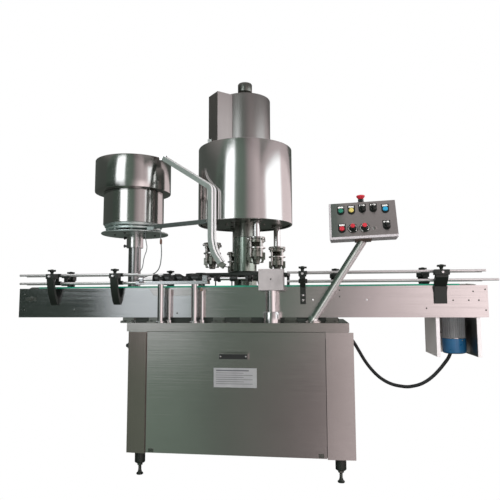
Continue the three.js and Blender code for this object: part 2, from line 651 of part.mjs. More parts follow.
// The chute is a channel whose floor is underneath on the slope and behind on the drop.
const CHUTE = { w: 42, d: 26, wall: 3 };
const CHUTE_PATH = [
  [-486, 249, 1704], [-192, 104, 1500], [-166, 88, 1480],
  [-166, 88, 1185], [-148, 86, 1120], [-112, 84, 1068],
];
const CHUTE_HEADING = new THREE.Vector2(294, -145).normalize();

function channel(from, to, isFirst) {
  const a = new THREE.Vector3(...from);
  const b = new THREE.Vector3(...to);
  const along = b.clone().sub(a).normalize();
  const level = new THREE.Vector3(-CHUTE_HEADING.y, CHUTE_HEADING.x, 0);
  const open = new THREE.Vector3().crossVectors(along, level).normalize();
  const across = new THREE.Vector3().crossVectors(open, along).normalize();
  const { w, d, wall } = CHUTE;
  const h = w / 2;
  const outside = [[-h, 0], [h, 0], [h, d], [h - wall, d]];
  const inside = [[h - wall, wall], [-h + wall, wall], [-h + wall, d], [-h, d]];
  const section = [...outside, ...inside].map(([u, v]) => new THREE.Vector2(u, v - d / 2));
  const overlap = isFirst ? 0 : 6;
  const depth = a.distanceTo(b) + overlap;
  const geometry = new THREE.ExtrudeGeometry(new THREE.Shape(section), { depth, bevelEnabled: false });
  const start = a.clone().addScaledVector(along, -overlap);
  geometry.applyMatrix4(new THREE.Matrix4().makeBasis(across, open, along).setPosition(start));
  return solid(geometry);
}

function capChute() {
  const runs = CHUTE_PATH.slice(1).map((point, i) => channel(CHUTE_PATH[i], point, i === 0));
  const nose = box(-126, -94, 71, 97, 1046, 1074);
  const finger = bar([-100, 84, 1052], [-60, 88, 1041], 4, 6);
  return join(...runs, nose, finger);
}

add('feeder_post', feederPost(), steel);
add('feeder_drive', feederDrive(), steel);
add('feeder_bowl', feederBowl(), steel);
add('cap_chute', capChute(), steel);

// ---- control panel ----
const PANEL_RUN = PANEL.face * Math.sin(rad(PANEL.slope));
const PANEL_RISE = PANEL.face * Math.cos(rad(PANEL.slope));

// The panel group's own frame: x across, y back, z up, origin at the middle of the face's lower edge.
const panel = new THREE.Group();
panel.position.set(PANEL.x, PANEL.y, PANEL.z);
panel.rotation.set(0, rad(PANEL.roll), rad(PANEL.yaw), 'ZYX');
machine.add(panel);

// The face group's own frame: x across, y up the slope, z out of the face.
const face = new THREE.Group();
face.rotation.set(rad(90 - PANEL.slope), 0, 0);
panel.add(face);

function panelBox() {
  const half = PANEL.w / 2;
  const depth = PANEL_RUN + PANEL.top;
  const wedge = sideplate([[depth, 0], [depth, PANEL_RISE], [PANEL_RUN, PANEL_RISE], [0, 0]], -half, half);
  const flange = box(-40, 34, 26, 94, -7, 1);
  const holes = Object.values(FACE_SPOTS).map(([x, v]) => {
    const hole = new THREE.CylinderGeometry(12, 12, 40, 8);
    hole.rotateX(Math.PI / 2);
    hole.translate(x, v, 0);
    hole.rotateX(rad(90 - PANEL.slope));
    return solid(hole);
  });
  const topHole = upright(ESTOP_X, PANEL_RUN + 18, PANEL_RISE - 30, PANEL_RISE + 10, 12, 8);
  return cut(join(wedge, flange), ...holes, topHole);
}

const ESTOP_X = -2;
const FACE_SPOTS = {
  push_green: [-96, 152],
  push_yellow: [-48, 152],
  selector_mode: [1, 157],
  selector_feeder: [50, 157],
  push_blue: [103, 148],
  push_red: [-94, 53],
  pot_conveyor: [-46, 55],
  pot_turret: [6, 55],
  selector_jog: [102, 58],
};

/** A push-button cap: a shallow dome on a collar that reaches into its hole. */
function pushButton() {
  return turnedOut([[0, -14], [10, -14], [10, 3], [14.5, 3], [14.5, 11], [0, 12]]);
}

function turnedOut(profile, sides = 12) {
  const geometry = new THREE.LatheGeometry(profile.map(([r, z]) => new THREE.Vector2(r, z)), sides);
  geometry.rotateX(Math.PI / 2);
  return solid(geometry);
}

function selectorSwitch() {
  const base = turnedOut([[0, -14], [10, -14], [10, 3], [14.5, 3], [14.5, 9], [0, 9]]);
  return join(base, box(-5, 5, -13, 13, 8, 22));
}

function potentiometer() {
  return turnedOut([[0, -14], [5, -14], [5, 3], [20, 3], [17, 10], [11, 11], [11, 25], [0, 25]]);
}

for (const [name, [x, v]] of Object.entries(FACE_SPOTS)) {
  const kind = name.split('_')[0];
  const bodies = { push: pushButton, selector: selectorSwitch, pot: potentiometer };
  const colour = kind === 'push' ? finish(buttonColours[name.slice(5)], 0.4, 0) : blackPlastic;
  add(name, bodies[kind](), colour, face).position.set(x, v, 0);
}
const collar = [[0, -14], [10, -14], [10, 3], [13, 3], [13, 16]];
const mushroom = turnedOut([...collar, [20, 26], [20, 31], [0, 36]], 16);
const emergencyStop = add('emergency_stop', mushroom, finish(buttonColours.red, 0.4, 0), panel);
emergencyStop.position.set(ESTOP_X, PANEL_RUN + 18, PANEL_RISE);
add('panel_box', panelBox(), steel, panel);

/** Leaning tube from the table to the flange under the panel, cut off along that flange. */
function panelPost() {
  machine.updateMatrixWorld(true);
  const [x, y, z] = [PANEL_FOOT.x, PANEL_FOOT.y, TABLE.top + GAP];
  const foot = upright(x, y, z, z + 8, 40, 16);
  const socket = upright(x, y, z + 4, z + 34, 24, 12);
  const above = panel.localToWorld(new THREE.Vector3(-2, 62, 20)).toArray();
  const tube = bar([x, y, z + 22], above, PANEL_FOOT.r, 12);
  const reach = new THREE.BoxGeometry(200, 200, 100);
  reach.translate(0, 60, 50 - 7 - GAP);
  reach.applyMatrix4(panel.matrixWorld);
  return cut(join(foot, socket, tube), solid(reach));
}
add('panel_post', panelPost(), steel);

// ---- cables ----
const MOTOR_CABLE = [
  [562, 300, 671], [573, 300, 660], [592, 298, 634], [617, 294.5, 591], [648, 291, 537], [679, 288, 495],
  [710, 285, 462], [741, 282, 438], [773, 279, 421], [804, 276, 411], [835, 274, 406], [866, 271, 404],
  [898, 268, 409], [929, 265, 418], [960, 262, 434], [992, 259, 458], [1024, 256, 490], [1056, 253, 529],
  [1081, 250, 566], [1093, 247.5, 600], [1096, 247, 635], [1096, 247, 667.6],
];
const FEEDER_LEAD = [
  [-519, 296, 1271.5], [-519, 296, 1240], [-516, 296, 1205], [-513, 296, 1160], [-515, 297, 1115],
  [-522, 299, 1075], [-538, 302, 1045], [-566, 306, 1026], [-602, 312, 1015], [-640, 330, 1005],
  [-672, 352.5, 992],
];
const SENSOR_LEAD = [
  [-611, 290, 1271.5], [-610, 290, 1245], [-606, 291, 1215], [-602, 294, 1190], [-606, 298, 1165],
  [-616, 302, 1140], [-625, 306, 1112], [-630, 311, 1086], [-640, 322, 1062], [-668, 350, 1040],
];
add('motor_cable', cable(MOTOR_CABLE, 9, 8, 28), cableBlack);
add('feeder_lead', cable(FEEDER_LEAD, 3, 8, 24), cableGrey);
add('sensor_lead', cable(SENSOR_LEAD, 2.5, 8, 20), cableGrey);

// ---- origin at the middle of the footprint ----
machine.updateMatrixWorld(true);
const CABLES = ['motor_cable', 'feeder_lead', 'sensor_lead'];
const extent = new THREE.Box3();
machine.traverse((item) => {
  if (item.isMesh && !CABLES.includes(item.name)) extent.expandByObject(item);
});
const middle = extent.getCenter(new THREE.Vector3());
machine.position.set(-middle.x, -middle.y, -extent.min.z);

export default machine;
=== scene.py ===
"""Four-head rotary capping machine on its slat conveyor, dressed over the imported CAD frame.

Lengths are in millimetres in the machine's own axes: X along the conveyor from its middle, Y back from the
front side plate, Z up from the floor. Piece.done() and mm() turn them into the frame's metres. Only the walls
and lights of the studio are given in metres.
"""
from math import asin, atan2, cos, degrees, pi, radians, sin, sqrt

import bmesh
import bpy
from mathutils import Matrix, Vector


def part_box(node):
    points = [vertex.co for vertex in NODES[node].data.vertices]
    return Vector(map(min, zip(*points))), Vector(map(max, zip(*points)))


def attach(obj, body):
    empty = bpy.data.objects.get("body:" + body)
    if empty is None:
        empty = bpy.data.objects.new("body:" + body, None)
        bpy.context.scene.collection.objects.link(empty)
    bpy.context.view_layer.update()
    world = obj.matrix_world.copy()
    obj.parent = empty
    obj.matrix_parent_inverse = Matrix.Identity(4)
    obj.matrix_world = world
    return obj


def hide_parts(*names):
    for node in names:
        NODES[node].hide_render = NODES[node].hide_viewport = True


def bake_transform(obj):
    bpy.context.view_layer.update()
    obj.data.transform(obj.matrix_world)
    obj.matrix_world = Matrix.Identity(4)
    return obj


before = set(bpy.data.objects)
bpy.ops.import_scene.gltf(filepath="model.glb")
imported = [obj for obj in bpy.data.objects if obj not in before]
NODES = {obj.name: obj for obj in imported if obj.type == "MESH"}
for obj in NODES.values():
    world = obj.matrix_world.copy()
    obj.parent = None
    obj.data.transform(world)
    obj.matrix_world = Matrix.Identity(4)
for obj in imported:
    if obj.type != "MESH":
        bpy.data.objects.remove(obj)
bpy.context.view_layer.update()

PLATE_LOW, PLATE_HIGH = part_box("conveyor_plate_front")
ORIGIN = Vector(((PLATE_LOW[0] + PLATE_HIGH[0]) / 2, PLATE_LOW[1], 0.0))


def mm(x, y, z):
    """A point in machine millimetres as a point in the row frame's metres."""
    return ORIGIN + Vector((x, y, z)) / 1000


def machine_box(node):
    """A CAD node's lowest and highest corners in machine millimetres."""
    low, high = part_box(node)
    return (Vector(low) - ORIGIN) * 1000, (Vector(high) - ORIGIN) * 1000


def middle_of(node):
    """The middle of a CAD node's box in machine millimetres."""
    low, high = machine_box(node)
    return (low + high) / 2


# ---- driving dimensions, from the frame where the frame has them ----
HALF_LENGTH = (PLATE_HIGH[0] - PLATE_LOW[0]) * 500
PLATE_BOTTOM = PLATE_LOW[2] * 1000
PLATE_TOP = PLATE_HIGH[2] * 1000
LANE_W = machine_box("conveyor_plate_rear")[1].y
CHAIN_LOW, CHAIN_HIGH = machine_box("slat_chain")
LOOP_R = (CHAIN_HIGH.z - CHAIN_LOW.z) / 2
SHAFT_Z = CHAIN_HIGH.z - LOOP_R
SHAFT_X = 1141
TABLE_TOP = 753
SEAT = TABLE_TOP + 0.3  # where parts stand on the table
BODY_LOW, BODY_HIGH = machine_box("cabinet_shell")
DOOR_LOW, DOOR_HIGH = machine_box("cabinet_door")
DRUM_LOW, DRUM_HIGH = machine_box("drum_cover")
TURRET = middle_of("drum_cover")
TURRET_AXIS = (TURRET.x, TURRET.y, 0)
DRUM_R = (DRUM_HIGH.x - DRUM_LOW.x) / 2
BOWL_LOW, BOWL_HIGH = machine_box("feeder_bowl")
BOWL_AT = middle_of("feeder_bowl")
POST_AT = middle_of("feeder_post")
FEEDER = Vector((-721.6, POST_AT.y, 0))
BOWL_R = (BOWL_HIGH.x - BOWL_LOW.x) / 2
HOUSING_HIGH = machine_box("top_housing")[1]
HEAD_R = 200
STAR = Vector((TURRET.x - 220.3, 155, 1000))
FRAME = "machine_frame"


# ---- materials ----
def principled(name, roughness, metallic, **sockets):
    """A material with one Principled shader; sockets are that shader's own constant values."""
    material = bpy.data.materials.new(name)
    material.use_nodes = True
    shader = material.node_tree.nodes["Principled BSDF"]
    shader.inputs["Roughness"].default_value = roughness
    shader.inputs["Metallic"].default_value = metallic
    for socket, value in sockets.items():
        shader.inputs[socket.replace("_", " ")].default_value = value
    return material, material.node_tree.nodes, material.node_tree.links, shader


def mapped(nodes, links, socket, value):
    """Object coordinates through a mapping whose Scale or Rotation is value."""
    coordinates = nodes.new("ShaderNodeTexCoord")
    mapping = nodes.new("ShaderNodeMapping")
    mapping.inputs[socket].default_value = value
    links.new(coordinates.outputs["Object"], mapping.inputs["Vector"])
    return mapping.outputs["Vector"]


def split(nodes, links, vector):
    """The X, Y and Z outputs of a vector."""
    axes = nodes.new("ShaderNodeSeparateXYZ")
    links.new(vector, axes.inputs["Vector"])
    return axes.outputs


def coordinate_axes(nodes, links, kind):
    """X, Y and Z outputs of one kind of texture coordinates."""
    return split(nodes, links, nodes.new("ShaderNodeTexCoord").outputs[kind])


def noise(nodes, links, scale, stretch=(1, 1, 1), detail=4.0):
    """Noise in object space, stretched by a mapping."""
    vector = mapped(nodes, links, "Scale", stretch)
    texture = nodes.new("ShaderNodeTexNoise")
    texture.inputs["Scale"].default_value = scale
    texture.inputs["Detail"].default_value = detail
    links.new(vector, texture.inputs["Vector"])
    return texture.outputs["Fac"]


def ramp(nodes, links, factor, stops):
    """A colour ramp fed by factor; stops are (position, colour)."""
    node = nodes.new("ShaderNodeValToRGB")
    elements = node.color_ramp.elements
    while len(elements) < len(stops):
        elements.new(0.5)
    for element, (position, colour) in zip(elements, stops):
        element.position = position
        element.color = (*colour, 1)
    links.new(factor, node.inputs["Fac"])
    return node.outputs["Color"]


def span(nodes, links, value, start, end, low=0.0, high=1.0):
    """Maps value from start..end to low..high, and holds it at those outside."""
    node = nodes.new("ShaderNodeMapRange")
    for socket, number in (("From Min", start), ("From Max", end), ("To Min", low), ("To Max", high)):
        node.inputs[socket].default_value = number
    links.new(value, node.inputs["Value"])
    return node.outputs["Result"]


def vary(nodes, links, factor, low, high):
    """Maps a noise between its usual 0.3 and 0.7 to low and high."""
    return span(nodes, links, factor, 0.3, 0.7, low, high)


def bump(nodes, links, shader, height, strength, distance):
    node = nodes.new("ShaderNodeBump")
    node.inputs["Strength"].default_value = strength
    node.inputs["Distance"].default_value = distance
    links.new(height, node.inputs["Height"])
    links.new(node.outputs["Normal"], shader.inputs["Normal"])


def tinted(colour, gain):
    return tuple(min(1.0, c * gain) for c in colour)


def cloudy(nodes, links, shader, clouds, colour, dark, light):
    """Base colour that drifts with the clouds between a darker and a lighter tint."""
    stops = [(0.3, tinted(colour, dark)), (0.7, tinted(colour, light))]
    links.new(ramp(nodes, links, clouds, stops), shader.inputs["Base Color"])


def brushed(name, colour, roughness, stretch, grain=0.5, metallic=1.0):
    """Brushed stainless: fine streaks across the stretched axes, and faint cloudy handling marks."""
    material, nodes, links, shader = principled(name, roughness, metallic)
    streaks = noise(nodes, links, 1.0, stretch, 3.0)
    clouds = noise(nodes, links, 3.0, (1, 1, 1), 5.0)
    cloudy(nodes, links, shader, clouds, colour, 0.93, 1.05)
    links.new(vary(nodes, links, streaks, roughness - 0.03, roughness + 0.04), shader.inputs["Roughness"])
    bump(nodes, links, shader, streaks, grain, 0.0005)
    return material


def moulded(name, colour, roughness, grain=900.0, coat=0.0):
    """Moulded or painted surface with a fine grain and slight unevenness of gloss."""
    material, nodes, links, shader = principled(name, roughness, 0.0, Coat_Weight=coat)
    fine = noise(nodes, links, grain)
    clouds = noise(nodes, links, 12.0)
    cloudy(nodes, links, shader, clouds, colour, 0.85, 1.12)
    links.new(vary(nodes, links, clouds, roughness - 0.06, roughness + 0.08), shader.inputs["Roughness"])
    bump(nodes, links, shader, fine, 0.15, 0.0003)
    return material


ALONG_X = (2, 500, 500)
ALONG_Z = (500, 500, 2)
ROUND_Z = (2, 2, 600)

STEEL_DRUM = brushed("steel_drum", (0.66, 0.645, 0.635), 0.14, ROUND_Z, 0.25)
STEEL_PLATE = brushed("steel_plate", (0.62, 0.60, 0.59), 0.15, ALONG_X, 0.7)
STEEL_DOOR = brushed("steel_door", (0.57, 0.55, 0.53), 0.19, ALONG_X, 0.7)
STEEL_JAMB = brushed("steel_jamb", (0.49, 0.4, 0.375), 0.22, ALONG_Z)
STEEL_POST = brushed("steel_post", (0.68, 0.665, 0.66), 0.16, ALONG_Z)
STEEL_FEEDER_POST = brushed("steel_feeder_post", (0.42, 0.42, 0.42), 0.2, ALONG_Z)
STEEL_COLUMN = brushed("steel_column", (0.36, 0.42, 0.37), 0.2, ALONG_Z)
STEEL_BOWL = brushed("steel_bowl", (0.58, 0.57, 0.555), 0.14, ROUND_Z, 0.25)
STEEL_TABLE = brushed("steel_table", (0.60, 0.57, 0.55), 0.2, ALONG_X, 0.7)
STEEL_ROD = brushed("steel_rod", (0.62, 0.61, 0.61), 0.2, ALONG_X)
STEEL_RAIL = brushed("steel_rail", (0.86, 0.845, 0.845), 0.28, ALONG_X, metallic=0.8)
STEEL_SLAT = brushed("steel_slat", (0.5, 0.55, 0.52), 0.25, ALONG_X)
# Pale teal steel for undersides: painted light, standing in for light bounced up under the feeder.
STEEL_UNDER = brushed("steel_under", (0.8, 0.9, 0.88), 0.45, (3, 3, 3))
STEEL_DARK = brushed("steel_dark", (0.22, 0.23, 0.21), 0.32, (60, 60, 60))
STEEL_BRIGHT = brushed("steel_bright", (0.78, 0.76, 0.76), 0.14, (80, 80, 80))
STEEL_PANEL = brushed("steel_panel", (0.56, 0.535, 0.525), 0.32, ALONG_X)
# Darker, greener steel; inside the drum cover it is painted shade.
STEEL_SHADE = brushed("steel_shade", (0.34, 0.38, 0.37), 0.42, (3, 3, 3))
STEEL_HOUSING = brushed("steel_housing", (0.37, 0.36, 0.35), 0.36, ROUND_Z)
STEEL_SPLICE = brushed("steel_splice", (0.66, 0.67, 0.68), 0.13, ALONG_X, 0.4)
STEEL_SHADE_PLATE = brushed("steel_side_cover", (0.42, 0.385, 0.375), 0.4, ALONG_Z)
STEEL_CARRIER = brushed("steel_carrier", (0.32, 0.33, 0.3), 0.3, (40, 40, 40))
STEEL_HEAD = brushed("steel_head", (0.66, 0.64, 0.62), 0.22, (60, 60, 60))
STEEL_OILY = brushed("steel_oily", (0.3, 0.305, 0.27), 0.32, (60, 60, 60))
STEEL_BRIGHT_BAR = brushed("steel_bar", (0.66, 0.67, 0.69), 0.25, ALONG_X)
# Near-white, barely metallic steel: painted highlight on the chute's lips.
STEEL_CHUTE = brushed("steel_chute", (0.98, 0.96, 0.97), 0.35, ALONG_Z, metallic=0.1)
# Darker, greener chute steel: painted shade on the channel's sides.
STEEL_CHUTE_SIDE = brushed("steel_chute_side", (0.4, 0.46, 0.43), 0.35, ALONG_Z, metallic=0.4)
STEEL_RIM = brushed("steel_rim", (0.66, 0.63, 0.65), 0.4, (30, 30, 30), metallic=0.5)
# Near-white, barely metallic guard steel: painted light, standing in for the bright reflection on the motor
# guard.
STEEL_GUARD = brushed("steel_guard", (0.86, 0.82, 0.8), 0.4, ALONG_Z, metallic=0.1)
# Near-white, part-metal steel: painted highlights on the guard's front edges and on two screw heads.
STEEL_FLANGE = brushed("steel_flange", (0.9, 0.88, 0.88), 0.4, ALONG_Z, metallic=0.3)
BROWN_STEEL = brushed("brown_steel", (0.16, 0.13, 0.11), 0.4, (60, 60, 60))
CAST_MOTOR = moulded("cast_motor", (0.3, 0.31, 0.315), 0.38)
CAST_GREY = moulded("cast_grey", (0.42, 0.43, 0.44), 0.42)
CUBE_GREY = moulded("cube_grey", (0.38, 0.355, 0.355), 0.45)
BLACK = moulded("black_plastic", (0.012, 0.016, 0.013), 0.38)
BLACK_GLOSS = moulded("black_gloss", (0.01, 0.012, 0.011), 0.2)
SHADOW_GREY = moulded("shadow_grey", (0.03, 0.037, 0.031), 0.5)
RUBBER = moulded("black_rubber", (0.014, 0.015, 0.015), 0.6, 400.0)
GREEN = moulded("green_strip", (0.015, 0.27, 0.165), 0.4)
FAN_BLUE = moulded("fan_blue", (0.018, 0.12, 0.26), 0.3, 500.0, 0.4)
LABEL = moulded("label_white", (0.74, 0.74, 0.72), 0.45)
RATING_FOIL = moulded("rating_foil", (0.3, 0.305, 0.31), 0.4)
LABEL_INK = moulded("label_ink", (0.09, 0.09, 0.1), 0.5)
CABLE = moulded("cable_sheath", (0.013, 0.016, 0.016), 0.5, 300.0)
LEAD = moulded("lead_sheath", (0.17, 0.19, 0.19), 0.5, 300.0)
CONNECTOR = moulded("connector_brown", (0.16, 0.085, 0.06), 0.5)
COPPER_NUT = brushed("warm_nut", (0.5, 0.36, 0.3), 0.25, (60, 60, 60))
CAP_GREEN = moulded("cap_green", (0.008, 0.16, 0.1), 0.28, 300.0, 0.3)
CAP_YELLOW = moulded("cap_yellow", (0.55, 0.46, 0.12), 0.28, 300.0, 0.3)
CAP_BLUE = moulded("cap_blue", (0.01, 0.3, 0.52), 0.28, 300.0, 0.3)
CAP_RED = moulded("cap_red", (0.5, 0.02, 0.035), 0.28, 300.0, 0.3)


# ---- building pieces ----
X_AXIS, Y_AXIS, Z_AXIS = Vector((1, 0, 0)), Vector((0, 1, 0)), Vector((0, 0, 1))


def scene_object(name, data):
    """A new object in the scene that holds a mesh, curve, light or camera."""
    obj = bpy.data.objects.new(name, data)
    bpy.context.scene.collection.objects.link(obj)
    return obj


def turn_to(axis):
    """The rotation that brings Z to an axis."""
    return Z_AXIS.rotation_difference(Vector(axis).normalized()).to_matrix()


class Piece:
    """One Blender object made of closed shapes, in machine millimetres or in a local frame of millimetres."""

    def __init__(self, name, local=None):
        self.name = name
        self.bm = bmesh.new()
        self.local = local or Matrix.Identity(4)

    def corners(self, places):
        """New vertices at the places, in their order."""
        return [self.bm.verts.new(place) for place in places]

    def hull_faces(self, rings, closed_ends=True):
        """Quads between rings of vertices, with end caps."""
        for low, high in zip(rings, rings[1:]):
            count = len(low)
            for i in range(count):
                j = (i + 1) % count
                self.bm.faces.new((low[i], low[j], high[j], high[i]))
        if closed_ends:
            self.bm.faces.new(reversed(rings[0]))
            self.bm.faces.new(rings[-1])

    def box(self, low, high, turn=None):
        """A box between two corners, turned about its own middle by a rotation matrix if given."""
        low, high = Vector(low), Vector(high)
        middle = (low + high) / 2
        half = (high - low) / 2
        turn = turn or Matrix.Identity(3)
        signs = ((-1, -1), (1, -1), (1, 1), (-1, 1))
        rings = []
        for z in (-1, 1):
            square = [Vector((half.x * x, half.y * y, half.z * z)) for x, y in signs]
            rings.append(self.corners(middle + turn @ corner for corner in square))
        self.hull_faces(rings)
        return self

    def prism(self, outline, low, high, plane="XY"):
        """A closed outline pushed from low to high; plane names its two axes."""
        place = {
            "XY": lambda a, b, c: Vector((a, b, c)),
            "XZ": lambda a, b, c: Vector((a, c, b)),
            "YZ": lambda a, b, c: Vector((c, a, b)),
        }[plane]
        self.hull_faces([self.corners(place(a, b, c) for a, b in outline) for c in (low, high)])
        return self

    def lathe(self, profile, at=(0, 0, 0), axis=Z_AXIS, sides=48):
        """A solid of revolution; profile rows are (radius, distance along the axis), radius 0 on the axis."""
        turn = turn_to(axis)
        at = Vector(at)
        angles = [2 * pi * i / sides for i in range(sides)]
        rings = []
        for r, h in profile:
            circle = [Vector((r * cos(a), r * sin(a), h)) for a in angles] if r > 0 else [Vector((0, 0, h))]
            rings.append(self.corners(at + turn @ point for point in circle))
        for low, high in zip(rings, rings[1:]):
            for i in range(sides):
                j = (i + 1) % sides
                corners = [low[i % len(low)], low[j % len(low)], high[j % len(high)], high[i % len(high)]]
                unique = list(dict.fromkeys(corners))
                if len(unique) > 2:
                    self.bm.faces.new(unique)
        return self

    def ring(self, inner, outer, low, high, at=(0, 0, 0), axis=Z_AXIS, sides=64):
        """A tube with square ends."""
        profile = [(inner, low), (outer, low), (outer, high), (inner, high)]
        turn = turn_to(axis)
        at = Vector(at)
        loops = []
        for i in range(sides):
            a = 2 * pi * i / sides
            loops.append(self.corners(at + turn @ Vector((r * cos(a), r * sin(a), h)) for r, h in profile))
        for i in range(sides):
            self.hull_faces([loops[i], loops[(i + 1) % sides]], closed_ends=False)
        return self

    def rod(self, start, end, r, end_r=None, sides=24, chamfer=0.0):
        """A round bar between two points, with chamfered ends."""
        start, end = Vector(start), Vector(end)
        axis = end - start
        length = axis.length
        end_r = r if end_r is None else end_r
        c = chamfer or min(r, end_r, length) * 0.12
        profile = [(0, 0), (r - c, 0), (r, c), (end_r, length - c), (end_r - c, length), (0, length)]
        return self.lathe(profile, start, axis, sides)

    def hexagon(self, at, axis, r, height, washer=0.0):
        """A hexagon bolt head, on a washer if asked."""
        if washer:
            self.rod(at, Vector(at) + Vector(axis).normalized() * 1.5, washer, sides=20)
        return self.lathe([(0, 0), (r, 0), (r, height * 0.85), (r * 0.86, height), (0, height)], at, axis, 6)

    def screw(self, at, axis, r, height):
        """A low dome-headed screw."""
        profile = [(0, 0), (r, 0), (r, height * 0.4), (r * 0.8, height * 0.8), (r * 0.4, height), (0, height)]
        return self.lathe(profile, at, axis, 16)

    def sweep(self, stations, section):
        """A closed section of (a, b) pairs carried along stations of (point, direction of a, of b)."""
        self.hull_faces([self.corners(point + across * a + out * b for a, b in section)
                         for point, across, out in stations])
        return self

    def done(self, material, body, replaces=(), bevel=0.0, sharp=32, slot=None):
        """Makes the object, in the row frame, riding on a body."""
        bm = self.bm
        for vert in bm.verts:
            vert.co = mm(*(self.local @ vert.co))
        bmesh.ops.recalc_face_normals(bm, faces=bm.faces[:])
        for face in bm.faces:
            face.smooth = True
        for edge in bm.edges:
            edge.smooth = len(edge.link_faces) == 2 and edge.calc_face_angle(0) < radians(sharp)
        mesh = bpy.data.meshes.new(self.name)
        bm.to_mesh(mesh)
        bm.free()
        obj = scene_object(self.name, mesh)
        mesh.materials.append(material)
        if bevel:
            soften(obj, bevel)
        if replaces:
            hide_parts(*replaces)
        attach(obj, body)
        return obj


def soften(obj, width):
    """Rounds an object's sharp edges by width millimetres."""
    modifier = obj.modifiers.new("soft_edges", "BEVEL")
    modifier.width = width / 1000
    modifier.segments = 2
    modifier.limit_method = "ANGLE"
    modifier.angle_limit = radians(40)
    modifier.harden_normals = True


def dress(node, material, bevel=0.0):
    """Gives a CAD node its material, and softened edges if asked."""
    obj = NODES[node]
    obj.data.materials.clear()
    obj.data.materials.append(material)
    if bevel:
        soften(obj, bevel)


def arc(cx, cy, r, start, end, steps):
    """Points on an arc, angles in degrees."""
    angles = [radians(start + (end - start) * i / steps) for i in range(steps + 1)]
    return [(cx + r * cos(a), cy + r * sin(a)) for a in angles]


def around(count, first=0.0):
    """Evenly spaced angles in radians."""
    return [radians(first + i * 360 / count) for i in range(count)]


def polar(centre, r, angle, z):
    """A point at a radius and an angle in radians round a centre, at height z."""
    return Vector((centre[0] + r * cos(angle), centre[1] + r * sin(angle), z))


def toothed(centre, count, root, tip, first=0.0):
    """A gear's outline; root and tip are each (half width as a share of the pitch, radius)."""
    outline = []
    for i in range(count):
        for share, r in ((-root[0], root[1]), (-tip[0], tip[1]), tip, root):
            a = 2 * pi * (i + first + share) / count
            outline.append((centre[0] + r * cos(a), centre[1] + r * sin(a)))
    return outline


# ---- camera ----
def make_camera():
    """The operator's view: a little right of the turret, at waist height, looking slightly left and up."""
    yaw, pitch, roll = radians(7.86), radians(5.93), radians(-0.2)
    forward = Vector((-sin(yaw) * cos(pitch), cos(yaw) * cos(pitch), sin(pitch)))
    right = forward.cross(Z_AXIS).normalized()
    up = right.cross(forward)
    rolled_right = cos(roll) * right + sin(roll) * up
    rolled_up = -sin(roll) * right + cos(roll) * up
    data = bpy.data.cameras.new("camera")
    data.sensor_width = 36
    data.lens = 37.87
    data.clip_end = 200
    camera = scene_object("camera", data)
    turn = Matrix((rolled_right, rolled_up, -forward)).transposed().to_4x4()
    camera.matrix_world = Matrix.Translation(mm(427.44, -2693.73, 844.2)) @ turn
    bpy.context.scene.camera = camera


# ---- cables, along the same points as their CAD tubes ----
MOTOR_CABLE = [
    (562, 300, 671), (573, 300, 660), (592, 298, 634), (617, 294.5, 591), (648, 291, 537), (679, 288, 495),
    (710, 285, 462), (741, 282, 438), (773, 279, 421), (804, 276, 411), (835, 274, 406), (866, 271, 404),
    (898, 268, 409), (929, 265, 418), (960, 262, 434), (992, 259, 458), (1024, 256, 490), (1056, 253, 529),
    (1081, 250, 566), (1093, 247.5, 600), (1096, 247, 635), (1096, 247, 667.6),
]
FEEDER_LEAD = [
    (-519, 296, 1271.5), (-519, 296, 1240), (-516, 296, 1205), (-513, 296, 1160), (-515, 297, 1115),
    (-522, 299, 1075), (-538, 302, 1045), (-566, 306, 1026), (-602, 312, 1015), (-640, 330, 1005),
    (-672, 352.5, 992),
]
SENSOR_LEAD = [
    (-611, 290, 1271.5), (-610, 290, 1245), (-606, 291, 1215), (-602, 294, 1190), (-606, 298, 1165),
    (-616, 302, 1140), (-625, 306, 1112), (-630, 311, 1086), (-640, 322, 1062), (-668, 350, 1040),
]


def cable(name, points, r, material, hangs_from=None):
    """A round cable as one smooth curve through its points, fixed to the machine or left as a loose mesh.

    hangs_from names the moving body that holds its first end; the code only tests whether it is given, and
    then leaves the cable as a mesh tied to no body.
    """
    curve = bpy.data.curves.new(name, "CURVE")
    curve.dimensions = "3D"
    curve.bevel_depth = r / 1000
    curve.bevel_resolution = 6
    curve.resolution_u = 10
    curve.use_fill_caps = True
    spline = curve.splines.new("BEZIER")
    spline.bezier_points.add(len(points) - 1)
    for knot, point in zip(spline.bezier_points, points):
        knot.co = mm(*point)
        knot.handle_left_type = "AUTO"
        knot.handle_right_type = "AUTO"
    curve.materials.append(material)
    obj = scene_object(name, curve)
    if hangs_from:
        bpy.context.view_layer.update()
        tube = bpy.data.meshes.new_from_object(obj)
        bpy.data.objects.remove(obj)
        obj = scene_object(name, tube)
        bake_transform(obj)
    else:
        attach(obj, FRAME)
    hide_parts(name.replace("_sheath", ""))
    return obj


make_camera()
cable("motor_cable_sheath", MOTOR_CABLE, 9, CABLE)
cable("feeder_lead_sheath", FEEDER_LEAD, 3, LEAD, "feeder")
cable("sensor_lead_sheath", SENSOR_LEAD, 2.5, LEAD, "feeder")


